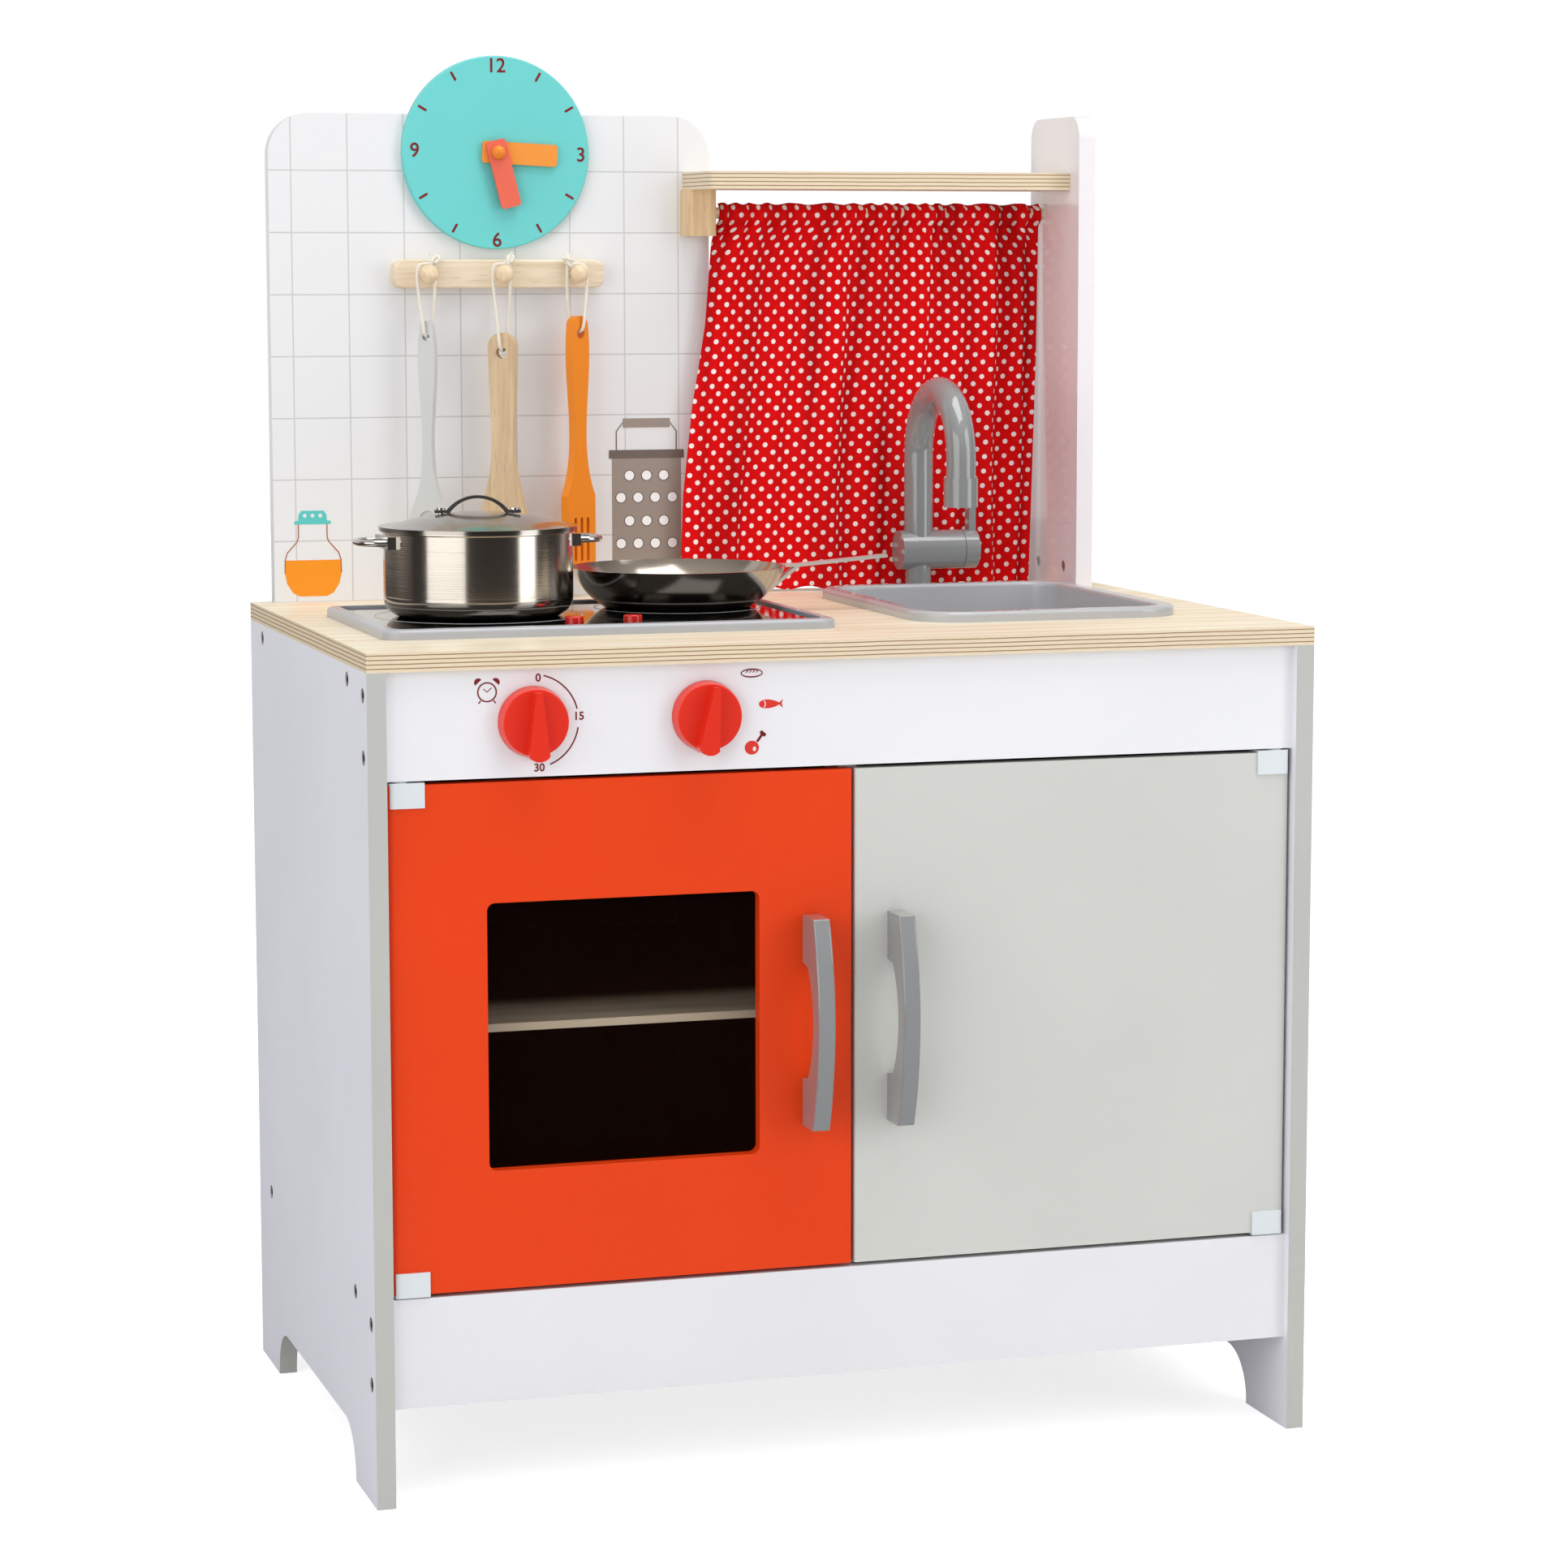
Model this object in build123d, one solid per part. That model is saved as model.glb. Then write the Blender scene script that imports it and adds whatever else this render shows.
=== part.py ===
from build123d import *
import os
from math import asin, cos, degrees, pi, radians, sin, tan

# Millimetres. x runs to the right as seen from the front, y to the back, z up.
# The origin lies on the floor under the middle of the whole kitchen, handles included.

# Cabinet
width = 620.0
depth = 400.0
worktop_top = 530.0
ply = 12.0
panel = 12.0
back_sheet = 4.0
front_recess = 6.0
gap = 0.3
running = 0.05

# Door handles, which reach further forward than anything else
handle_reach = 34.0
handle_end_reach = 22.0
handle_grip = 12.0
handle_height = 134.0
handle_width = 11.0
handle_foot = 30.0
handle_foot_slope = 2.0
handle_round = 1.2
handle_from_middle = 28.0
handle_screw_spacing = 104.0
handle_screw_radius = 2.0

# Feet of the side panels
foot_length = 66.0
foot_arch_height = 34.0
foot_arch_radius = 32.0

# Rails across the front
apron_height = 67.0
plinth_bottom = 61.0
plinth_height = 69.0

# Doors
door_gap = 2.5
door_side_gap = 1.5
door_middle_gap = 2.0
door_outer_round = 3.5
door_edge_round = 1.5
window_width = 174.0
window_height = 167.0
window_corner = 5.0
pane_thickness = 2.8
pane_overlap = 8.0
pane_clearance = 0.2

# Corner hinges of the doors
pivot_from_panel = 10.0
clip_length = 21.5
clip_outer = 7.5
clip_height = 14.0
clip_wall = 1.5
clip_round = 2.5
pin_radius = 2.95
pin_length = 10.5
pin_end_gap = 1.0
collar_radius = 5.0

# Magnet catches
catch_width = 12.0
catch_depth = 16.0
catch_height = 26.0
catch_below_top = 18.0
strike_thickness = 1.0

# Inside of the oven
oven_shelf_thickness = 5.0
oven_shelf_top = 292.5
oven_shelf_from_front = 40.0
shelf_pin_radius = 2.5
shelf_pin_out = 8.0
shelf_pin_in = 6.0
shelf_pin_front = 60.0
shelf_pin_back = 45.0
batten = 18.0

# Fasteners
bolt_radius = 2.5
bolt_head_radius = 4.4
bolt_head_length = 3.5
bolt_sink = 4.0
bolt_length = 44.0
batten_screw_length = 22.0
rail_bolt_spread = 19.0
panel_bolt_front = 60.0
panel_bolt_back = 45.0
nut_radius = 4.0
nut_end_gap = 0.5
nut_wall = 2.0
nut_above_worktop = 17.0
upper_bolt_tip = 8.0
handle_screw_head = 1.6
pane_screw_radius = 1.5
pane_screw_head_radius = 4.0
pane_screw_head = 1.2
pane_screw_length = 6.0
pane_screw_outside = 2.5
pane_screw_from_end = 20.0
screw_tip_gap = 1.0

# Splash board, upright, top shelf
board_above_clock_middle = 26.0
splash_from_side = 15.0
splash_width = 312.0
splash_corner = 28.0
splash_bolt_inset = 60.0
upright_from_side = 35.0
upright_depth = 96.0
upright_corner = 15.0
upright_bolt_front = 26.0
upright_bolt_back = 20.0
shelf_below_top = 51.0
shelf_depth = 67.0
shelf_corner = 8.0
shelf_left_overhang = 19.0

# Curtain and its rod
rod_radius = 4.0
rod_from_back = 22.0
rod_below_shelf = 16.0
rod_socket = 8.0
block_width = 21.0
block_depth = 22.0
block_height = 32.0
block_round = 4.0
curtain_end_gap = 2.0
curtain_bottom_gap = 2.0
curtain_from_back = 20.0
curtain_thickness = 2.0
curtain_half_folds = 14
fold_depth_top = 1.5
fold_depth_bottom = 3.0
curtain_flare_left = 27.0
curtain_flare_right = -6.0
heading_height = 15.0
heading_above_rod = 6.0
heading_thickness = 13.0
sleeve_clearance = 0.5

# Peg rail
rail_length = 149.0
rail_height = 19.5
rail_corner = 7.0
rail_thickness = 14.0
rail_round = 1.5
rail_below_clock = 7.25
peg_spacing = 53.0
peg_neck_radius = 4.0
peg_ball_radius = 6.2
peg_reach = 14.0
peg_socket = 10.0

# Clock
clock_radius = 66.0
clock_thickness = 6.0
clock_round = 1.0
clock_from_board_side = 158.0
hand_thickness = 3.0
hand_corner = 2.5
hand_gap = 0.3
minute_length = 53.0
minute_width = 15.0
minute_tail = 10.5
hour_length = 47.0
hour_width = 14.0
hour_tail = 8.5
hour_angle = 166.0
minute_angle = 93.0
clock_pin_radius = 2.95
clock_pin_head = 5.0

# Knobs
knob_radius = 22.0
knob_face_radius = 20.5
knob_depth = 9.0
knob_gap = 0.4
knob_above_apron_bottom = 34.0
timer_knob_from_side = 92.0
knob_spacing = 110.0
knob_round = 0.8
ridge_top_width = 4.0
ridge_bottom_width = 13.0
ridge_overhang = 1.2
ridge_height = 9.0
ridge_slope = 4.5
ridge_top_inset = 1.5
ridge_root = 2.0
stem_radius = 5.0
stem_snap = 1.0
stem_snap_length = 3.0
timer_knob_turn = 0.0
oven_knob_turn = 8.0

# Hob
hob_from_side = 28.0
hob_depth = 200.0
hob_from_front = 78.0
hob_rim_height = 6.5
hob_rim_width = 8.0
hob_rim_round = 3.0
hob_corner = 12.0
hob_plate_drop = 1.5
hob_plate_thickness = 2.5
hob_plate_clearance = 0.25
hob_tray_inset = 22.0
hob_tray_depth = 30.0
hob_wall = 2.0
cutout_clearance = 1.0
button_radius = 6.0
button_rise = 3.0
button_travel = 1.5
button_flange = 1.8
button_flange_thickness = 1.5
button_stem_radius = 2.0
button_round = 1.0
button_left_of_middle = 14.0
button_spacing = 39.0
button_from_hob_front = 52.0
board_thickness = 1.6
board_rise = 4.0
board_depth = 40.0
board_left_margin = 28.0
board_edge = 2.0
post_radius = 3.0
post_inset = 6.0
switch_width = 6.0
switch_height = 2.5
switch_pin_radius = 1.7
switch_pin_height = 1.5
speaker_from_button = 37.0
speaker_radius = 14.0
speaker_height = 5.0
battery_cover_width = 74.0
battery_cover_depth = 60.0
battery_cover_thickness = 2.0

# Sink
sink_from_side = 48.0
sink_width = 186.0
sink_depth = 245.0
sink_from_back = 62.0
sink_corner = 34.0
sink_rim_height = 7.0
sink_rim_width = 12.0
sink_rim_round = 3.2
sink_wall = 2.5
bowl_depth = 64.0
bowl_taper = 3.0
bowl_floor_round = 8.0
drain_radius = 17.0
drain_depth = 1.2

# Faucet
faucet_left_of_sink_middle = 8.5
tube_radius = 10.2
spout_reach = 90.0
spout_bend_centre = 98.0
nozzle_bottom = 65.0
nozzle_length = 20.0
nozzle_radius = 11.8
nozzle_bore = 7.5
nozzle_bore_depth = 14.0
mixer_radius = 13.9
mixer_height = 29.6
mixer_left = 15.0
mixer_right = 31.5
lever_length = 10.8
lever_gap = 0.4
lever_spindle_radius = 5.0
lever_spindle_length = 14.0
lever_tab_height = 33.0
lever_tab_thickness = 5.0
lever_tab_width = 9.0
lever_tab_inset = 1.0
lever_round = 1.0
stub_radius = 9.2
flare_radius = 11.5
flare_height = 4.0
tail_radius = 8.0
tail_length = 24.0
faucet_nut_across = 24.0
faucet_nut_thickness = 7.0

# Pot and lid
pot_from_hob_side = 85.5
pot_ahead_of_pan = 25.0
pot_to_pan_gap = 10.0
pot_radius = 61.7
pot_base_radius = 49.0
pot_height = 56.0
pot_wall = 1.5
pot_base_round = 14.0
pot_rim_radius = 64.0
pot_lip = 1.6
pot_handle_reach = 82.0
pot_handle_span = 18.0
pot_handle_wire = 2.2
pot_handle_corner = 12.0
pot_handle_below_rim = 7.0
pot_handle_plate = 2.2
pot_handle_plate_edge = 4.0
pot_handle_seat = 6.0
lid_turn = -14.0
lid_radius = 64.8
lid_edge = 2.5
lid_rise = 9.0
lid_sheet = 1.5
lid_bead = 7.0
lid_skirt = 4.0
lid_skirt_thickness = 2.0
lid_handle_span = 56.0
lid_handle_foot = 8.0
lid_handle_rise = 11.5
lid_handle_thickness = 2.0
lid_handle_width = 9.0
rivet_radius = 1.6
rivet_head_radius = 2.8
rivet_head = 1.2

# Pan
pan_to_hob_side = 69.0
pan_base_gap = 6.0
pan_radius = 72.0
pan_base_radius = 48.0
pan_belly_radius = 60.0
pan_belly_height = 9.0
pan_height = 27.0
pan_wall = 1.5
pan_handle_length = 74.0
pan_handle_width = 9.0
pan_handle_strip = 2.0
pan_handle_rise = 5.0
pan_handle_end = 6.0
pan_handle_hole = 2.2
pan_strut_width = 6.0

# Utensils
utensil_from_back = 32.0
utensil_above_worktop = 19.5
dish_depth = 2.0
dish_slope = 20.0

# Grey spoon: half widths and how far below its hole each one lies.
# Each utensil hangs turned about its own upright line, by its turn.
grey_hole_below_peg = 42.8
grey_hole = 2.7
grey_thickness = 6.0
grey_turn = -35.0
grey_top_half = 4.4
grey_top_rise = 6.5
grey_neck_half = 4.4
grey_neck_drop = 50.0
grey_stem_half = 4.4
grey_stem_drop = 92.0
grey_shoulder_half = 7.2
grey_shoulder_drop = 106.0
grey_bowl_half = 14.6
grey_bowl_drop = 127.0
grey_tip_half = 9.0
grey_tip_drop = 151.0
grey_dish_half_width = 9.0
grey_dish_half_length = 16.0
grey_dish_drop = 136.0

# Beech spoon
beech_hole_below_peg = 54.0
beech_hole = 4.0
beech_thickness = 8.0
beech_turn = -30.0
beech_top_half = 9.8
beech_top_rise = 3.9
beech_neck_half = 9.1
beech_neck_drop = 20.0
beech_stem_half = 7.8
beech_stem_drop = 56.0
beech_shoulder_half = 9.0
beech_shoulder_drop = 82.0
beech_bowl_half = 15.8
beech_bowl_drop = 113.0
beech_tip_half = 11.0
beech_tip_drop = 140.0
beech_dish_half_width = 9.0
beech_dish_half_length = 14.0
beech_dish_drop = 129.0

# Orange spatula
spatula_hole_below_peg = 41.1
spatula_hole = 3.6
spatula_thickness = 7.0
spatula_turn = 30.0
spatula_top_half = 7.1
spatula_top_rise = 5.0
spatula_neck_half = 6.7
spatula_neck_drop = 40.0
spatula_stem_half = 5.3
spatula_stem_drop = 80.0
blade_half = 13.2
blade_top_drop = 112.6
blade_bottom_drop = 164.4
blade_corner = 3.0
blade_slot_drop = 143.0
blade_slot_length = 31.0
blade_slot_width = 2.6
blade_slot_spacing = 6.0

# Cord loops of the utensils
cord_radius = 1.1
knot_radius = 3.7
knot_above_wrap = 1.4
knot_from_rail = 0.4
cord_clearance = 0.9
cord_lift = 1.4
cord_rest_gap = 1.5

# Places that follow from the sizes above
overall_depth = depth + handle_reach - front_recess
back = overall_depth / 2
front = back - depth
panel_height = worktop_top - ply
inside = width / 2 - panel
face = front + front_recess
rail_back = face + panel
rail_middle_y = face + panel / 2
apron_bottom = panel_height - apron_height
plinth_top = plinth_bottom + plinth_height
floor_bottom = plinth_top - panel
inner_back = back - back_sheet
door_bottom = plinth_top + door_gap
door_top = apron_bottom - door_gap
door_height = door_top - door_bottom
door_middle_z = (door_top + door_bottom) / 2
pivot_x = inside - pivot_from_panel
door_width = inside - door_side_gap - door_middle_gap / 2
window_x = -(door_middle_gap / 2 + door_width / 2)
splash_front = back - panel
splash_left = splash_from_side - width / 2
splash_right = splash_left + splash_width
upright_inner = width / 2 - upright_from_side - panel
hob_left = hob_from_side - width / 2
hob_y = front + hob_from_front + hob_depth / 2
pan_y = hob_y + hob_depth / 2 - hob_rim_width - pan_base_gap - pan_base_radius
pot_y = pan_y - pot_ahead_of_pan
pot_to_pan = pot_radius + pan_radius + pot_to_pan_gap
pot_x = hob_left + pot_from_hob_side
pan_x = pot_x + (pot_to_pan ** 2 - pot_ahead_of_pan ** 2) ** 0.5
hob_width = pan_x + pan_to_hob_side - hob_left
hob_x = hob_left + hob_width / 2
button_y = hob_y - hob_depth / 2 + button_from_hob_front
plate_top = worktop_top + hob_rim_height - hob_plate_drop
plate_bottom = plate_top - hob_plate_thickness
tray_bottom = worktop_top - hob_tray_depth
sink_x = width / 2 - sink_from_side - sink_width / 2
sink_y = back - sink_from_back - sink_depth / 2
bowl_width = sink_width - 2 * sink_rim_width
bowl_length = sink_depth - 2 * sink_rim_width
bowl_corner = sink_corner - sink_rim_width
faucet_x = sink_x - faucet_left_of_sink_middle
faucet_y = back - sink_from_back + flare_radius + gap
mixer_z = worktop_top + mixer_height
rail_front = splash_front - rail_thickness
rail_z = worktop_top + utensil_above_worktop + blade_bottom_drop + spatula_hole_below_peg
clock_middle = splash_left + clock_from_board_side
clock_z = rail_z + rail_height / 2 + rail_below_clock + clock_radius
clock_front = splash_front - clock_thickness
upper_top = clock_z + board_above_clock_middle
upper_height = upper_top - worktop_top
shelf_z = upper_top - shelf_below_top
rod_y = back - rod_from_back
rod_z = shelf_z - rod_below_shelf
utensil_y = back - utensil_from_back
pot_rim_z = plate_top + pot_height
timer_knob_x = timer_knob_from_side - inside
oven_knob_x = timer_knob_x + knob_spacing
knob_z = apron_bottom + knob_above_apron_bottom

UP = Vector(0, 0, 1)
DOWN = Vector(0, 0, -1)
RIGHT = Vector(1, 0, 0)
LEFT = Vector(-1, 0, 0)
FORWARD = Vector(0, -1, 0)
BACKWARD = Vector(0, 1, 0)


def block(low, high):
    """Solid box between two opposite corners."""
    size = [b - a for a, b in zip(low, high)]
    middle = [(a + b) / 2 for a, b in zip(low, high)]
    return Pos(*middle) * Box(*size)


def bar(start, direction, radius, length):
    """Round bar from a start point along a direction."""
    upright_bar = Cylinder(radius, length, align=(Align.CENTER, Align.CENTER, Align.MIN))
    return Plane(origin=start, z_dir=direction) * upright_bar


def cone(start, direction, radius, end_radius, length):
    """Tapered round bar from a start point along a direction."""
    upright_cone = Cone(radius, end_radius, length, align=(Align.CENTER, Align.CENTER, Align.MIN))
    return Plane(origin=start, z_dir=direction) * upright_cone


def front_plane(x, y, z):
    """Plane that faces the front, with its own x to the right and its own y up."""
    return Plane(origin=(x, y, z), x_dir=(1, 0, 0), z_dir=(0, -1, 0))


def side_plane(x, y, z):
    """Plane that faces right, with its own x to the back and its own y up."""
    return Plane(origin=(x, y, z), x_dir=(0, 1, 0), z_dir=(1, 0, 0))


def level_plane(x, y, z):
    """Plane that faces up."""
    return Plane(origin=(x, y, z))


def group(pieces):
    """Like pieces that share a node and stay separate solids."""
    return Compound(children=[Solid(piece.solid().wrapped) for piece in pieces])


# Fasteners of the cabinet

def rail_bolt_heights(middle):
    return [middle - rail_bolt_spread, middle + rail_bolt_spread]


def side_bolt_places():
    """Place on the side panel and length of every bolt that goes in from one side."""
    apron_middle = apron_bottom + apron_height / 2
    plinth_middle = plinth_bottom + plinth_height / 2
    floor_middle = floor_bottom + panel / 2
    batten_middle = panel_height - batten / 2
    places = []
    for middle in (apron_middle, plinth_middle):
        for height in rail_bolt_heights(middle):
            places.append((rail_middle_y, height, bolt_length))
    for along in (front + panel_bolt_front, back - panel_bolt_back):
        places.append((along, floor_middle, bolt_length))
        places.append((along, batten_middle, batten_screw_length))
    return places


def side_bolts(side):
    """Bolts of one side panel, with their heads sunk under its outer face."""
    head_x = side * (width / 2 - bolt_sink + bolt_head_length)
    inward = LEFT if side > 0 else RIGHT
    bolts = []
    for along, height, length in side_bolt_places():
        head = bar((head_x, along, height), inward, bolt_head_radius, bolt_head_length)
        shank = bar((head_x, along, height), inward, bolt_radius, bolt_head_length + length)
        bolts.append(head + shank)
    return bolts


def side_bolt_holes(side):
    """Everything that the bolts of one side need cut away."""
    outer = side * width / 2
    inward = LEFT if side > 0 else RIGHT
    holes = []
    for along, height, length in side_bolt_places():
        seat = bar((outer, along, height), inward, bolt_head_radius + gap, bolt_sink)
        hole = bar((outer, along, height), inward, bolt_radius + running, bolt_sink + length + gap)
        holes.append(seat + hole)
    return holes


def with_side_holes(solid):
    for side in (-1, 1):
        for hole in side_bolt_holes(side):
            solid -= hole
    return solid


# Side panels

def side_panel(side):
    """Side panel that stands on two feet, with an arch cut between them."""
    inner = side * inside
    outer = side * width / 2
    sheet = block((min(inner, outer), front, 0), (max(inner, outer), back, panel_height))
    arch_length = depth - 2 * foot_length
    arch = RectangleRounded(arch_length, 2 * foot_arch_height, foot_arch_radius)
    cut = side_plane(min(inner, outer), (front + back) / 2, 0) * arch
    sheet -= extrude(cut, amount=panel)
    for hole in side_bolt_holes(side):
        sheet -= hole
    return sheet


# Worktop

def hob_cutout():
    size_x = hob_width - 2 * hob_tray_inset + 2 * cutout_clearance
    size_y = hob_depth - 2 * hob_tray_inset + 2 * cutout_clearance
    outline = level_plane(hob_x, hob_y, panel_height) * RectangleRounded(size_x, size_y, hob_corner)
    return extrude(outline, amount=ply)


def sink_cutout():
    size_x = bowl_width + 2 * sink_wall + 2 * cutout_clearance
    size_y = bowl_length + 2 * sink_wall + 2 * cutout_clearance
    outline = RectangleRounded(size_x, size_y, bowl_corner + sink_wall + cutout_clearance)
    return extrude(level_plane(sink_x, sink_y, panel_height) * outline, amount=ply)


def upper_bolt_places():
    """Middle of each bolt that holds the splash board and the upright from below."""
    splash_y = splash_front + panel / 2
    upright_x = upright_inner + panel / 2
    return [
        (splash_left + splash_bolt_inset, splash_y),
        (splash_right - splash_bolt_inset, splash_y),
        (upright_x, back - upright_depth + upright_bolt_front),
        (upright_x, back - upright_bolt_back),
    ]


def upper_bolt_cuts():
    """Bolt holes through the worktop and into what stands on it."""
    cuts = []
    top = worktop_top + nut_above_worktop + upper_bolt_tip
    for x, y in upper_bolt_places():
        seat = bar((x, y, panel_height), UP, bolt_head_radius + gap, bolt_sink)
        hole = bar((x, y, panel_height), UP, bolt_radius + running, top - panel_height + gap)
        cuts.append(seat + hole)
    return cuts


def worktop():
    """Birch plywood top with the openings for hob, sink and faucet."""
    sheet = block((-width / 2, front, panel_height), (width / 2, back, worktop_top))
    sheet -= hob_cutout()
    sheet -= sink_cutout()
    sheet -= bar((faucet_x, faucet_y, panel_height), UP, tail_radius + running, ply)
    for cut in upper_bolt_cuts():
        sheet -= cut
    return sheet


# Front rails

def pivot_hole(side, z, direction):
    return bar((side * pivot_x, rail_middle_y, z), direction, pin_radius + running, pin_length)


def apron():
    """Rail under the worktop that carries the two knobs and the doors' upper pins."""
    rail = block((-inside, face, apron_bottom), (inside, rail_back, panel_height))
    for x in (timer_knob_x, oven_knob_x):
        rail -= bar((x, face, knob_z), BACKWARD, stem_radius + running, panel)
    for side in (-1, 1):
        rail -= pivot_hole(side, apron_bottom, UP)
    return with_side_holes(rail)


def plinth():
    """Rail above the feet that carries the doors' lower pins."""
    rail = block((-inside, face, plinth_bottom), (inside, rail_back, plinth_top))
    for side in (-1, 1):
        rail -= pivot_hole(side, plinth_top, DOWN)
    return with_side_holes(rail)


# Inside of the cabinet

def cabinet_floor():
    floor = block((-inside, rail_back, floor_bottom), (inside, inner_back, plinth_top))
    return with_side_holes(floor)


def clear_of_tray_and_bowl(solid):
    """Cuts the room that the hob's tray and the sink's bowl need out of what stands under them."""
    room = cutout_clearance
    tray_x = hob_width / 2 - hob_tray_inset + room
    tray_y = hob_depth / 2 - hob_tray_inset + room
    bowl_x = bowl_width / 2 + sink_wall + room
    bowl_y = bowl_length / 2 + sink_wall + room
    bowl_bottom = worktop_top - bowl_depth - sink_wall - room
    tray_low = (hob_x - tray_x, hob_y - tray_y, tray_bottom - room)
    bowl_low = (sink_x - bowl_x, sink_y - bowl_y, bowl_bottom)
    solid -= block(tray_low, (hob_x + tray_x, hob_y + tray_y, worktop_top))
    solid -= block(bowl_low, (sink_x + bowl_x, sink_y + bowl_y, worktop_top))
    return solid


def centre_divider():
    divider_front = rail_back + gap
    sheet = block((-panel / 2, divider_front, plinth_top), (panel / 2, inner_back, panel_height))
    return clear_of_tray_and_bowl(sheet)


def cabinet_back():
    return block((-inside, inner_back, floor_bottom), (inside, back, panel_height))


def oven_shelf():
    """Thin plywood shelf behind the oven window."""
    low = (-inside, front + oven_shelf_from_front, oven_shelf_top - oven_shelf_thickness)
    return block(low, (-panel / 2, inner_back, oven_shelf_top))


def shelf_pin_places():
    pin_z = oven_shelf_top - oven_shelf_thickness - shelf_pin_radius
    near = front + oven_shelf_from_front + shelf_pin_front
    far = inner_back - shelf_pin_back
    places = []
    for along in (near, far):
        places.append(((-inside, along, pin_z), LEFT))
        places.append(((-panel / 2, along, pin_z), RIGHT))
    return places


def shelf_pins():
    """Four pins that carry the oven shelf, pushed into panel and divider."""
    pins = []
    for start, inward in shelf_pin_places():
        outer_end = Vector(*start) - inward * shelf_pin_out
        pins.append(bar(outer_end, inward, shelf_pin_radius, shelf_pin_out + shelf_pin_in))
    return group(pins)


def with_shelf_pin_holes(solid):
    for start, inward in shelf_pin_places():
        solid -= bar(start, inward, shelf_pin_radius, shelf_pin_in)
    return solid


def worktop_battens():
    """Battens in the corners between side panels and worktop."""
    pieces = []
    for side in (-1, 1):
        outer = side * inside
        inner = side * (inside - batten)
        low = (min(inner, outer), rail_back, panel_height - batten)
        high = (max(inner, outer), inner_back, panel_height)
        pieces.append(clear_of_tray_and_bowl(with_side_holes(block(low, high))))
    return group(pieces)


# Splash board and upright

def splash_board():
    """Back board behind the hob, with its two upper corners rounded."""
    size_x = splash_right - splash_left
    middle_x = (splash_left + splash_right) / 2
    outline = Rectangle(size_x, upper_height)
    outline = fillet(outline.vertices().group_by(Axis.Y)[-1], splash_corner)
    sheet = extrude(front_plane(middle_x, back, worktop_top + upper_height / 2) * outline, amount=panel)
    for cut in upper_bolt_cuts():
        sheet -= cut
    for x, y in upper_bolt_places()[:2]:
        nut_start = (x, back, worktop_top + nut_above_worktop)
        sheet -= bar(nut_start, FORWARD, nut_radius + running, panel - nut_wall)
    sheet -= bar((clock_middle, splash_front, clock_z), BACKWARD, clock_pin_radius + running, panel / 2)
    return sheet


def upright():
    """Narrow board that stands beside the sink and carries shelf and rod."""
    outline = Rectangle(upright_depth, upper_height)
    outline = fillet(outline.vertices().group_by(Axis.Y)[-1], upright_corner)
    middle_y = back - upright_depth / 2
    sheet = extrude(side_plane(upright_inner, middle_y, worktop_top + upper_height / 2) * outline, amount=panel)
    for cut in upper_bolt_cuts():
        sheet -= cut
    for x, y in upper_bolt_places()[2:]:
        nut_start = (upright_inner, y, worktop_top + nut_above_worktop)
        sheet -= bar(nut_start, RIGHT, nut_radius + running, panel)
    sheet -= bar((upright_inner, rod_y, rod_z), RIGHT, rod_radius, rod_socket)
    return sheet


def upper_bolts():
    """Bolts through the worktop from below, with their heads sunk under it."""
    bolts = []
    head_z = panel_height + bolt_sink - bolt_head_length
    tip = worktop_top + nut_above_worktop + upper_bolt_tip
    for x, y in upper_bolt_places():
        head = bar((x, y, head_z), UP, bolt_head_radius, bolt_head_length)
        shank = bar((x, y, head_z), UP, bolt_radius, tip - head_z)
        bolts.append(head + shank)
    return group(bolts)


def barrel_nuts():
    """Cross nuts that the upper bolts turn into."""
    nuts = []
    nut_z = worktop_top + nut_above_worktop
    for number, (x, y) in enumerate(upper_bolt_places()):
        if number < 2:
            nut = bar((x, back - nut_end_gap, nut_z), FORWARD, nut_radius, panel - nut_wall - 2 * nut_end_gap)
        else:
            nut = bar((upright_inner + nut_end_gap, y, nut_z), RIGHT, nut_radius, panel - 2 * nut_end_gap)
        nut -= bar((x, y, nut_z - 2 * nut_radius), UP, bolt_radius + running, 4 * nut_radius)
        nuts.append(nut)
    return group(nuts)


# Top shelf, rod and its block

def top_shelf():
    """Plywood shelf between the upright and the block on the splash board."""
    size_x = upright_inner - splash_right + shelf_left_overhang
    left = splash_right - shelf_left_overhang
    outline = Rectangle(size_x, shelf_depth)
    corners = outline.vertices().group_by(Axis.X)[0].sort_by(Axis.Y)
    outline = fillet(corners[0], shelf_corner)
    place = level_plane(left + size_x / 2, splash_front - shelf_depth / 2, shelf_z)
    return extrude(place * outline, amount=ply)


def rod_block():
    """Beech block under the shelf's left end, with the rod's blind socket."""
    low = (splash_right - block_width, splash_front - block_depth, shelf_z - block_height)
    solid = block(low, (splash_right, splash_front, shelf_z))
    front_edges = solid.edges().filter_by(Axis.Z).group_by(Axis.Y)[0]
    solid = fillet(front_edges, block_round)
    solid -= bar((splash_right, rod_y, rod_z), LEFT, rod_radius, rod_socket)
    return solid


def curtain_rod():
    start = (splash_right - rod_socket, rod_y, rod_z)
    return bar(start, RIGHT, rod_radius, upright_inner - splash_right + 2 * rod_socket)


# Curtain

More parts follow.
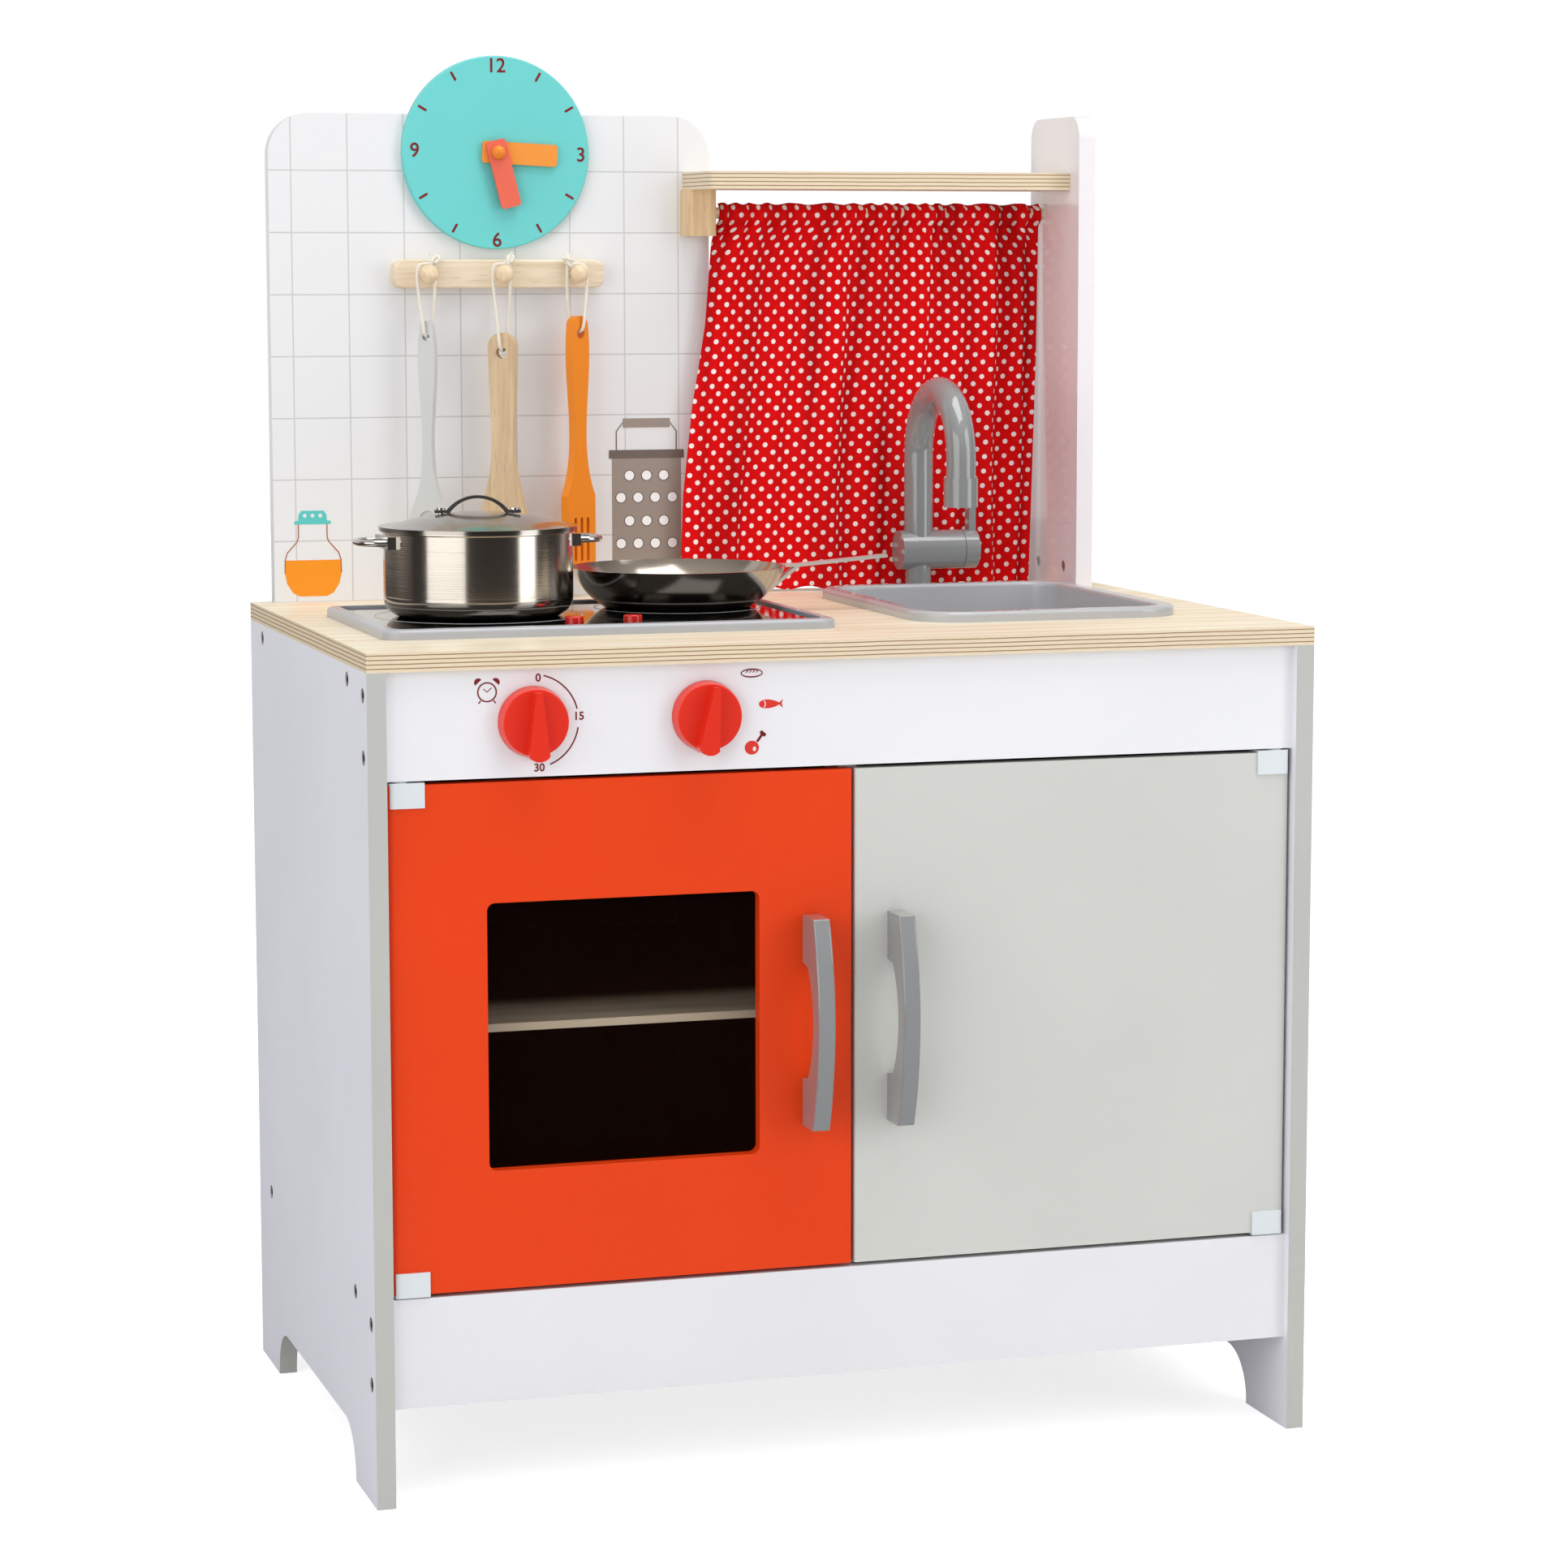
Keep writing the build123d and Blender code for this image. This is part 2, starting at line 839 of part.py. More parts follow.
def folded_outline(left, right, z, fold_depth, thickness, middle_y):
    """Closed outline of the gathered cloth at one height, each half fold one arc."""
    pitch = (right - left) / curtain_half_folds
    front_y = middle_y - thickness / 2
    back_y = middle_y + thickness / 2
    edges = []
    for number in range(curtain_half_folds):
        bulge = fold_depth if number % 2 else -fold_depth
        x = left + number * pitch
        edges.append(ThreePointArc((x, front_y, z), (x + pitch / 2, front_y + bulge, z), (x + pitch, front_y, z)))
    edges.append(Line((right, front_y, z), (right, back_y, z)))
    for number in reversed(range(curtain_half_folds)):
        bulge = fold_depth if number % 2 else -fold_depth
        x = left + number * pitch
        edges.append(ThreePointArc((x + pitch, back_y, z), (x + pitch / 2, back_y + bulge, z), (x, back_y, z)))
    edges.append(Line((left, back_y, z), (left, front_y, z)))
    return make_face(edges)


def curtain():
    """Gathered cloth: a sleeve round the rod with folds that deepen towards the hem."""
    top_left = splash_right + curtain_end_gap
    top_right = upright_inner - curtain_end_gap
    heading_top = rod_z + heading_above_rod
    heading_bottom = heading_top - heading_height
    hem = worktop_top + curtain_bottom_gap
    heading_face = folded_outline(top_left, top_right, heading_bottom, fold_depth_top, heading_thickness, rod_y)
    heading = extrude(heading_face, amount=heading_height, dir=(0, 0, 1))
    heading -= bar((top_left, rod_y, rod_z), RIGHT, rod_radius + sleeve_clearance, top_right - top_left)
    middle_y = back - curtain_from_back
    upper = folded_outline(top_left, top_right, heading_bottom + 1, fold_depth_top, curtain_thickness, middle_y)
    lower = folded_outline(
        top_left - curtain_flare_left,
        top_right + curtain_flare_right,
        hem,
        fold_depth_bottom,
        curtain_thickness,
        middle_y,
    )
    return heading + loft([lower, upper], ruled=True)


# Peg rail

def peg_positions():
    return [clock_middle - peg_spacing, clock_middle, clock_middle + peg_spacing]


def peg_rail():
    """Beech rail with rounded ends, glued to the splash board under the clock."""
    outline = front_plane(clock_middle, splash_front, rail_z) * RectangleRounded(rail_length, rail_height, rail_corner)
    rail = extrude(outline, amount=rail_thickness)
    rail = fillet(rail.faces().sort_by(Axis.Y)[0].edges(), rail_round)
    for x in peg_positions():
        rail -= bar((x, rail_front, rail_z), BACKWARD, peg_neck_radius, peg_socket)
    return rail


def rail_pegs():
    """Turned pegs with round heads."""
    pegs = []
    for x in peg_positions():
        neck = bar((x, rail_front + peg_socket, rail_z), FORWARD, peg_neck_radius, peg_socket + peg_reach)
        head = Pos(x, rail_front - peg_reach, rail_z) * Sphere(peg_ball_radius)
        pegs.append(neck + head)
    return group(pegs)


# Clock

def clock_hand(y_back, length, width_across, tail, angle):
    """Flat hand with rounded corners that turns on the clock's pin."""
    outline = Pos(0, length / 2 - tail) * RectangleRounded(width_across, length, hand_corner)
    outline -= Circle(clock_pin_radius + running)
    turned = front_plane(clock_middle, y_back, clock_z) * Rot(0, 0, -angle) * outline
    return extrude(turned, amount=hand_thickness)


def clock_face():
    disc = bar((clock_middle, splash_front, clock_z), FORWARD, clock_radius, clock_thickness)
    disc = fillet(disc.faces().sort_by(Axis.Y)[0].edges(), clock_round)
    hole = bar((clock_middle, splash_front, clock_z), FORWARD, clock_pin_radius + running, clock_thickness)
    return disc - hole


def clock_pin():
    """Round-headed pin through both hands and the face into the board."""
    head_back = clock_front - 3 * hand_gap - 2 * hand_thickness
    shank_length = splash_front + panel / 2 - head_back
    shank = bar((clock_middle, head_back, clock_z), BACKWARD, clock_pin_radius, shank_length)
    head = Pos(clock_middle, head_back, clock_z) * Sphere(clock_pin_head)
    behind = block(
        (clock_middle - clock_radius, head_back, clock_z - clock_radius),
        (clock_middle + clock_radius, back, clock_z + clock_radius),
    )
    return (head - behind) + shank


# Knobs

def knob_ridge():
    """Grip ridge, narrow at the top and wide at the bottom where it points past the rim."""
    top = knob_face_radius - ridge_top_inset
    bottom = -(knob_radius + ridge_overhang)
    half_top = ridge_top_width / 2
    half_bottom = ridge_bottom_width / 2
    round_start = bottom + half_bottom / 2
    outline = make_face([
        Line((-half_bottom, round_start), (-half_top, top)),
        Line((-half_top, top), (half_top, top)),
        Line((half_top, top), (half_bottom, round_start)),
        ThreePointArc((half_bottom, round_start), (0, bottom), (-half_bottom, round_start)),
    ])
    return outline


def knob(x, turn):
    """Turning knob: conical disc, tapered ridge and a stem that snaps in behind the apron."""
    base_y = face - knob_gap
    face_y = base_y - knob_depth
    disc = cone((x, base_y, knob_z), FORWARD, knob_radius, knob_face_radius, knob_depth)
    disc = fillet(disc.faces().sort_by(Axis.Y)[0].edges(), knob_round)
    start = front_plane(x, base_y - ridge_root, knob_z) * Rot(0, 0, -turn)
    ridge = extrude(start * knob_ridge(), amount=knob_depth - ridge_root + ridge_height)
    slope_angle = degrees(asin(ridge_slope / (2 * knob_radius)))
    trim = Pos(0, 0, knob_radius) * Box(4 * knob_radius, 4 * knob_radius, 2 * knob_radius)
    trim_place = front_plane(x, face_y - ridge_height, knob_z) * Rot(0, 0, -turn)
    trim_place = trim_place * Pos(0, -knob_radius, 0) * Rot(slope_angle, 0, 0)
    ridge -= trim_place * trim
    stem_length = panel + knob_gap + gap
    stem = bar((x, base_y, knob_z), BACKWARD, stem_radius, stem_length)
    snap_start = (x, base_y + stem_length, knob_z)
    snap = cone(snap_start, BACKWARD, stem_radius + stem_snap, stem_radius - stem_snap, stem_snap_length)
    return disc + ridge + stem + snap


# Doors

def door_span(side):
    """Left and right edge of a door."""
    inner = side * door_middle_gap / 2
    outer = side * (inside - door_side_gap)
    return min(inner, outer), max(inner, outer)


def handle_x(side):
    return side * handle_from_middle


def handle_screw_places(side):
    half = handle_screw_spacing / 2
    return [(handle_x(side), door_middle_z - half), (handle_x(side), door_middle_z + half)]


def strike_z():
    return door_top - catch_below_top - catch_height / 2


def door(side):
    """Door leaf with rounded edges, fixed by clips at its two outer corners."""
    left, right = door_span(side)
    leaf = block((left, face, door_bottom), (right, rail_back, door_top))
    columns = leaf.edges().filter_by(Axis.Z).group_by(Axis.X)
    outer_edges = columns[-1] if side > 0 else columns[0]
    leaf = fillet(outer_edges, door_outer_round)
    columns = leaf.edges().filter_by(Axis.Z).group_by(Axis.X)
    inner_edges = columns[0] if side > 0 else columns[-1]
    leaf = fillet(inner_edges, door_edge_round)
    for x, z in handle_screw_places(side):
        leaf -= bar((x, face, z), BACKWARD, handle_screw_radius + running, panel)
    return leaf


def oven_door():
    """Left door with the window opening and a rebate for the pane behind it."""
    leaf = door(-1)
    opening = RectangleRounded(window_width, window_height, window_corner)
    leaf -= extrude(front_plane(window_x, rail_back, door_middle_z) * opening, amount=panel)
    rebate = Rectangle(window_width + 2 * pane_overlap, window_height + 2 * pane_overlap)
    rebate_depth = pane_thickness + pane_clearance
    leaf -= extrude(front_plane(window_x, rail_back, door_middle_z) * rebate, amount=rebate_depth)
    for x, z in pane_screw_places():
        leaf -= bar((x, rail_back, z), FORWARD, pane_screw_radius + running, pane_screw_length)
    return leaf


def pane_screw_places():
    half_x = window_width / 2 + pane_overlap + pane_screw_outside
    half_z = window_height / 2 - pane_screw_from_end
    places = []
    for x in (window_x - half_x, window_x + half_x):
        for z in (door_middle_z - half_z, door_middle_z + half_z):
            places.append((x, z))
    return places


def oven_window():
    """Tinted pane in the rebate of the left door."""
    size_x = window_width + 2 * pane_overlap - 2 * pane_clearance
    size_z = window_height + 2 * pane_overlap - 2 * pane_clearance
    outline = front_plane(window_x, rail_back, door_middle_z) * Rectangle(size_x, size_z)
    return extrude(outline, amount=pane_thickness)


def hinge_clip(side, end):
    """Moulded clip over one outer corner of a door, with its pin and collar."""
    clip_low = pivot_x - (clip_length - clip_outer)
    clip_high = pivot_x + clip_outer
    low_x, high_x = sorted((side * clip_low, side * clip_high))
    if end > 0:
        edge, web_end, inner_end, direction = door_top, door_top + clip_wall, door_top - clip_height, UP
    else:
        edge, web_end, inner_end, direction = door_bottom, door_bottom - clip_wall, door_bottom + clip_height, DOWN
    low_z, high_z = sorted((web_end, inner_end))
    clip = block((low_x, face - clip_wall, low_z), (high_x, rail_back + clip_wall, high_z))
    columns = clip.edges().filter_by(Axis.Z).group_by(Axis.X)
    outer_edges = columns[-1] if side > 0 else columns[0]
    clip = fillet(outer_edges, clip_round)
    slot_low, slot_high = sorted((edge, inner_end))
    clip -= block((low_x - clip_wall, face, slot_low), (high_x + clip_wall, rail_back, slot_high))
    collar_height = door_gap - clip_wall - gap
    clip += bar((side * pivot_x, rail_middle_y, web_end), direction, collar_radius, collar_height)
    pin_reach = door_gap - clip_wall + pin_length - pin_end_gap
    clip += bar((side * pivot_x, rail_middle_y, web_end), direction, pin_radius, pin_reach)
    return clip


def hinges(side):
    return group([hinge_clip(side, -1), hinge_clip(side, 1)])


def handle_outline():
    """Side view of a handle: an arched grip between two feet, facing left."""
    half = handle_height / 2
    foot = half - handle_foot
    inner_reach = handle_reach - handle_grip
    corner_reach = handle_end_reach / 2
    corner = foot - handle_foot_slope
    return make_face([
        Line((0, half), (-handle_end_reach, half)),
        ThreePointArc((-handle_end_reach, half), (-handle_reach, 0), (-handle_end_reach, -half)),
        Line((-handle_end_reach, -half), (0, -half)),
        Line((0, -half), (0, -foot)),
        Line((0, -foot), (-corner_reach, -corner)),
        ThreePointArc((-corner_reach, -corner), (-inner_reach, 0), (-corner_reach, corner)),
        Line((-corner_reach, corner), (0, foot)),
        Line((0, foot), (0, half)),
    ])


def handle(side):
    """Arched bar handle that stands off the door between two feet."""
    start = side_plane(handle_x(side) - handle_width / 2, face, door_middle_z)
    solid = extrude(start * handle_outline(), amount=handle_width)
    front_edges = solid.faces().sort_by(Axis.Y)[0].edges()
    solid = fillet(front_edges, handle_round)
    for x, z in handle_screw_places(side):
        solid -= bar((x, face, z), FORWARD, handle_screw_radius + running, handle_end_reach / 2)
    return solid


def door_hardware(side):
    """Steel pieces on the back of a door: strike plate, handle screws, pane screws."""
    pieces = []
    for x, z in handle_screw_places(side):
        head = bar((x, rail_back, z), BACKWARD, 2 * handle_screw_radius, handle_screw_head)
        shank_length = panel + handle_screw_head + handle_end_reach / 2 - screw_tip_gap
        shank = bar((x, rail_back + handle_screw_head, z), FORWARD, handle_screw_radius, shank_length)
        pieces.append(head + shank)
    if side < 0:
        for x, z in pane_screw_places():
            head = bar((x, rail_back, z), BACKWARD, pane_screw_head_radius, pane_screw_head)
            shank = bar((x, rail_back + pane_screw_head, z), FORWARD, pane_screw_radius, pane_screw_length)
            pieces.append(head + shank)
    plate_side = panel / 2 + strike_thickness
    low_x, high_x = sorted((side * plate_side, side * (plate_side + catch_width)))
    half = catch_height / 2
    plate = block(
        (low_x, rail_back, strike_z() - half),
        (high_x, rail_back + strike_thickness, strike_z() + half),
    )
    pieces.append(plate)
    return group(pieces)


def magnet_catches():
    """Magnet housings on both sides of the divider, just behind the doors."""
    housings = []
    catch_front = rail_back + strike_thickness + gap
    half = catch_height / 2
    for side in (-1, 1):
        low_x, high_x = sorted((side * panel / 2, side * (panel / 2 + catch_width)))
        housings.append(block(
            (low_x, catch_front, strike_z() - half),
            (high_x, catch_front + catch_depth, strike_z() + half),
        ))
    return group(housings)


# Hob

def button_places():
    left_x = hob_x - button_left_of_middle
    return [(left_x, button_y), (left_x + button_spacing, button_y)]


def hob_housing():
    """Moulded frame on the worktop with a tray that hangs through the cut-out."""
    outer = RectangleRounded(hob_width, hob_depth, hob_corner)
    frame = extrude(level_plane(hob_x, hob_y, worktop_top) * outer, amount=hob_rim_height)
    top_edges = frame.faces().sort_by(Axis.Z)[-1].edges()
    frame = fillet(top_edges, hob_rim_round)
    plate_space = RectangleRounded(
        hob_width - 2 * hob_rim_width,
        hob_depth - 2 * hob_rim_width,
        hob_corner - hob_rim_width / 2,
    )
    frame -= extrude(level_plane(hob_x, hob_y, plate_bottom) * plate_space, amount=hob_rim_height)
    tray_x = hob_width - 2 * hob_tray_inset
    tray_y = hob_depth - 2 * hob_tray_inset
    outside = RectangleRounded(tray_x, tray_y, hob_corner - cutout_clearance)
    inner_corner = hob_corner - cutout_clearance - hob_wall
    room = RectangleRounded(tray_x - 2 * hob_wall, tray_y - 2 * hob_wall, inner_corner)
    tray = extrude(level_plane(hob_x, hob_y, tray_bottom) * outside, amount=hob_tray_depth + hob_wall / 2)
    solid = frame + tray
    tray_floor = level_plane(hob_x, hob_y, tray_bottom + hob_wall)
    solid -= extrude(tray_floor * room, amount=hob_tray_depth + hob_rim_height)
    for x, y in board_post_places():
        solid += bar((x, y, tray_bottom + hob_wall), UP, post_radius, board_rise)
    cover = block(
        (hob_x - battery_cover_width / 2, hob_y - battery_cover_depth / 2, tray_bottom),
        (hob_x + battery_cover_width / 2, hob_y + battery_cover_depth / 2, tray_bottom + hob_wall),
    )
    return solid - cover


def speaker_x():
    return button_places()[-1][0] + speaker_from_button


def board_ends():
    """Left and right end of the circuit board."""
    return button_places()[0][0] - board_left_margin, speaker_x() + speaker_radius + board_edge


def board_post_places():
    left, right = board_ends()
    reach = board_depth / 2 - post_inset
    spots = []
    for x in (left + post_inset, right - post_inset):
        for y in (button_y - reach, button_y + reach):
            spots.append((x, y))
    return spots


def battery_cover():
    """Cover of the battery compartment, set flush into the tray's floor."""
    clearance = hob_plate_clearance
    low = (hob_x - battery_cover_width / 2 + clearance, hob_y - battery_cover_depth / 2 + clearance, tray_bottom)
    high_x = hob_x + battery_cover_width / 2 - clearance
    high_y = hob_y + battery_cover_depth / 2 - clearance
    return block(low, (high_x, high_y, tray_bottom + battery_cover_thickness))


def hob_plate():
    """Black glossy plate with two holes for the buttons."""
    size_x = hob_width - 2 * hob_rim_width - 2 * hob_plate_clearance
    size_y = hob_depth - 2 * hob_rim_width - 2 * hob_plate_clearance
    outline = RectangleRounded(size_x, size_y, hob_corner - hob_rim_width / 2)
    plate = extrude(level_plane(hob_x, hob_y, plate_bottom) * outline, amount=hob_plate_thickness)
    for x, y in button_places():
        plate -= bar((x, y, plate_bottom), UP, button_radius + running, hob_plate_thickness)
    return plate


def hob_button(number):
    """Push button held under the plate by its flange, with a stem down to its switch."""
    x, y = button_places()[number]
    cap = bar((x, y, plate_bottom), UP, button_radius, hob_plate_thickness + button_rise)
    cap = fillet(cap.faces().sort_by(Axis.Z)[-1].edges(), button_round)
    flange_bottom = plate_bottom - button_flange_thickness
    flange = bar((x, y, flange_bottom), UP, button_radius + button_flange, button_flange_thickness)
    stem_bottom = switch_top() + button_travel + gap
    stem = bar((x, y, stem_bottom), UP, button_stem_radius, flange_bottom - stem_bottom)
    return cap + flange + stem


def board_bottom():
    return tray_bottom + hob_wall + board_rise


def switch_top():
    return board_bottom() + board_thickness + switch_height + switch_pin_height


def circuit_board():
    """Board on four posts, with a spring switch under each button and the speaker."""
    left, right = board_ends()
    bottom = board_bottom()
    low = (left, button_y - board_depth / 2, bottom)
    plate = block(low, (right, button_y + board_depth / 2, bottom + board_thickness))
    half = switch_width / 2
    for x, y in button_places():
        plate += block((x - half, y - half, bottom), (x + half, y + half, switch_top() - switch_pin_height))
        plate += bar((x, y, bottom), UP, switch_pin_radius, switch_top() - bottom)
    plate += bar((speaker_x(), button_y, bottom), UP, speaker_radius, board_thickness + speaker_height)
    return plate


# Sink

def bowl_solid(grow, top, bottom):
    """Tapered bowl shape with rounded floor edges, grown all round by a wall."""
    outline = RectangleRounded(bowl_width + 2 * grow, bowl_length + 2 * grow, bowl_corner + grow)
    solid = extrude(level_plane(sink_x, sink_y, top) * outline, amount=-(top - bottom), taper=bowl_taper)
    return fillet(solid.faces().sort_by(Axis.Z)[0].edges(), bowl_floor_round + grow)


def sink():
    """Moulded sink: a round bead lies on the worktop and the tapered bowl hangs inside it."""
    outer = RectangleRounded(sink_width, sink_depth, sink_corner)
    rim = extrude(level_plane(sink_x, sink_y, worktop_top) * outer, amount=sink_rim_height)
    floor = worktop_top - bowl_depth
    shell = rim + bowl_solid(sink_wall, worktop_top + 1, floor - sink_wall)
    shell -= bowl_solid(0, worktop_top + sink_rim_height, floor)
    shell = fillet(shell.faces().sort_by(Axis.Z)[-1].edges(), sink_rim_round)
    shell -= bar((sink_x, sink_y, floor - drain_depth), UP, drain_radius, drain_depth + 1)
    return shell


# Faucet

def faucet_outline_solid():
    """Whole faucet body before it is parted into its two moulded halves."""
    base = Vector(faucet_x, faucet_y, worktop_top)
    bend = spout_reach / 2
    riser = Line(base, base + UP * spout_bend_centre)
    top_middle = base + UP * (spout_bend_centre + bend) + FORWARD * bend
    over = base + UP * spout_bend_centre + FORWARD * spout_reach
    arch = ThreePointArc(base + UP * spout_bend_centre, top_middle, over)
    mouth = base + UP * nozzle_bottom + FORWARD * spout_reach
    drop = Line(over, mouth)
    path = Wire([riser, arch, drop])
    tube = sweep(Plane(origin=base, z_dir=UP) * Circle(tube_radius), path)
    below = block(
        (faucet_x - 2 * tube_radius, faucet_y - 2 * tube_radius, worktop_top),
        (faucet_x + 2 * tube_radius, faucet_y + 2 * tube_radius, mixer_z),
    )
    body = tube - below
    body += bar(base, UP, stub_radius, mixer_height)
    body += cone(base, UP, flare_radius, stub_radius, flare_height)
    body += bar((faucet_x - mixer_left, faucet_y, mixer_z), RIGHT, mixer_radius, mixer_left + mixer_right)
    body += bar(mouth, UP, nozzle_radius, nozzle_length)
    body += bar(base, DOWN, tail_radius, tail_length)
    body -= bar(mouth, UP, nozzle_bore, nozzle_bore_depth)
    spindle_start = (faucet_x + mixer_right, faucet_y, mixer_z)
    body -= bar(spindle_start, LEFT, lever_spindle_radius + running, lever_spindle_length)
    return body


def faucet():
    """Two moulded halves that meet in the spout's own plane."""
    body = faucet_outline_solid()
    reach = 4 * spout_reach
    left_half_space = block(
        (faucet_x - reach, faucet_y - reach, worktop_top - reach),
        (faucet_x, faucet_y + reach, worktop_top + reach),
    )
    return group([body & left_half_space, body - left_half_space])


def faucet_nut():
    """Nut that holds the faucet from under the worktop."""
    start = level_plane(faucet_x, faucet_y, panel_height - gap - faucet_nut_thickness)
    outline = RegularPolygon(faucet_nut_across / 2, 6, major_radius=False) - Circle(tail_radius + running)
    return extrude(start * outline, amount=faucet_nut_thickness)


def faucet_lever():
    """End cap of the mixer with an upright tab, turning on its spindle."""
    start = Vector(faucet_x + mixer_right + lever_gap, faucet_y, mixer_z)
    cap = bar(start, RIGHT, mixer_radius, lever_length)
    cap = fillet(cap.faces().sort_by(Axis.X)[-1].edges(), lever_round)
    spindle = bar(start, LEFT, lever_spindle_radius, lever_spindle_length - gap)
    tab_x = start.X + lever_length - lever_tab_thickness - lever_tab_inset
    tab = block(
        (tab_x, faucet_y - lever_tab_width / 2, mixer_z),
        (tab_x + lever_tab_thickness, faucet_y + lever_tab_width / 2, mixer_z + lever_tab_height),
    )
    top_edges = tab.faces().sort_by(Axis.Z)[-1].edges().filter_by(Axis.X)
    tab = fillet(top_edges, lever_tab_width / 3)
    return cap + spindle + tab


# Pot, lid and pan

def spun(points, x, y):
    """Solid of revolution about an upright axis from its half outline."""
    return Pos(x, y, 0) * revolve(Plane.XZ * make_face(points), Axis.Z)


def pot():
    """Straight-sided steel pot with a rounded foot and a turned-out rim."""
    bottom = plate_top
    rim = pot_rim_z
    inner = pot_radius - pot_wall
    lip = pot_lip
    outline = [
        Line((0, bottom), (pot_base_radius, bottom)),
        ThreePointArc(
            (pot_base_radius, bottom),
            (pot_radius - pot_base_round * 0.28, bottom + pot_base_round * 0.25),
            (pot_radius, bottom + pot_base_round),
        ),
        Line((pot_radius, bottom + pot_base_round), (pot_radius, rim - lip)),
        Line((pot_radius, rim - lip), (pot_rim_radius, rim - lip / 2)),
        Line((pot_rim_radius, rim - lip / 2), (pot_rim_radius, rim)),
        Line((pot_rim_radius, rim), (inner, rim)),
        Line((inner, rim), (inner, bottom + pot_base_round)),
        ThreePointArc(
            (inner, bottom + pot_base_round),
            (inner - pot_base_round * 0.28, bottom + pot_wall + pot_base_round * 0.25),
            (pot_base_radius - pot_wall, bottom + pot_wall),
        ),
        Line((pot_base_radius - pot_wall, bottom + pot_wall), (0, bottom + pot_wall)),
        Line((0, bottom + pot_wall), (0, bottom)),
    ]
    return spun(outline, pot_x, pot_y)


def pot_handle(side):
    """Wire handle: a flat loop that ends in a plate on the pot's wall."""
    seat = pot_radius + running
    wire = pot_handle_wire
    reach = pot_handle_reach - wire
    span = pot_handle_span - wire
    z = pot_rim_z - pot_handle_below_rim
    start_x = seat + pot_handle_plate / 2
    corners = [(start_x, -span, z), (reach, -span, z), (reach, span, z), (start_x, span, z)]
    path = FilletPolyline(*corners, radius=pot_handle_corner)
    loop = sweep(Plane(origin=corners[0], z_dir=RIGHT) * Circle(wire), path.wire())
    edge = pot_handle_plate_edge
    plate = block((seat - pot_handle_seat, -span - edge, z - edge), (seat + pot_handle_plate, span + edge, z + edge))
    plate -= bar((0, 0, z - 2 * edge), UP, seat, 4 * edge)
    turn = 180 if side < 0 else 0
    return Pos(pot_x, pot_y, 0) * Rot(0, 0, turn) * (loop + plate)


def pot_handles():
    return group([pot_handle(-1), pot_handle(1)])


def dome_edge():
    return lid_radius - lid_bead


def dome_height(radius):
    """Height of the lid's upper face at a radius, on the sphere that shapes it."""
    sphere = (dome_edge() ** 2 + lid_rise ** 2) / (2 * lid_rise)
    return pot_rim_z + lid_edge + lid_rise - sphere + (sphere ** 2 - radius ** 2) ** 0.5


def pot_lid():
    """Low domed lid with a skirt that centres it inside the pot."""
    edge = pot_rim_z
    bead_top = edge + lid_edge
    skirt = pot_radius - pot_wall - gap
    skirt_inner = skirt - lid_skirt_thickness
    rim = dome_edge()
    half = rim / 2
    outline = [
        Line((lid_radius, edge), (lid_radius, bead_top)),
        Line((lid_radius, bead_top), (rim, bead_top)),
        ThreePointArc((rim, bead_top), (half, dome_height(half)), (0, dome_height(0))),
        Line((0, dome_height(0)), (0, dome_height(0) - lid_sheet)),
        ThreePointArc(
            (0, dome_height(0) - lid_sheet),
            (half, dome_height(half) - lid_sheet),
            (rim, bead_top - lid_sheet),
        ),
        Line((rim, bead_top - lid_sheet), (skirt_inner, edge - lid_skirt)),
        Line((skirt_inner, edge - lid_skirt), (skirt, edge - lid_skirt)),
        Line((skirt, edge - lid_skirt), (skirt, edge)),
        Line((skirt, edge), (lid_radius, edge)),
    ]
    lid = spun(outline, pot_x, pot_y)
    for foot_x in lid_handle_feet():
        lid -= on_lid(bar((foot_x, 0, edge), UP, rivet_radius + running, 2 * lid_rise))
    return lid


def lid_handle_feet():
    reach = (lid_handle_span - lid_handle_foot) / 2
    return [-reach, reach]


def on_lid(piece):
    """Places something modelled round the origin on the lid, turned as the lid lies."""
    return Pos(pot_x, pot_y, 0) * Rot(0, 0, lid_turn) * piece


def lid_handle():
    """Arched strap with two flat feet riveted through the lid."""
    half = lid_handle_span / 2
    foot = half - lid_handle_foot
    base = dome_height(foot - lid_handle_thickness) + running
    upper = base + lid_handle_thickness
    top = base + lid_handle_rise
    outline = make_face([
        Line((-half, base), (-half, upper)),
        Line((-half, upper), (-foot, upper)),
        ThreePointArc((-foot, upper), (0, top), (foot, upper)),
        Line((foot, upper), (half, upper)),
        Line((half, upper), (half, base)),
        Line((half, base), (foot - lid_handle_thickness, base)),
        ThreePointArc(
            (foot - lid_handle_thickness, base),
            (0, top - lid_handle_thickness),
            (lid_handle_thickness - foot, base),
        ),
        Line((lid_handle_thickness - foot, base), (-half, base)),
    ])
    strap = extrude(front_plane(0, lid_handle_width / 2, 0) * outline, amount=lid_handle_width)
    for foot_x in lid_handle_feet():
        shank_bottom = dome_height(abs(foot_x)) - lid_sheet - rivet_head
        strap += bar((foot_x, 0, shank_bottom), UP, rivet_radius, upper - shank_bottom)
        strap += bar((foot_x, 0, upper), UP, rivet_head_radius, rivet_head)
    return on_lid(strap)


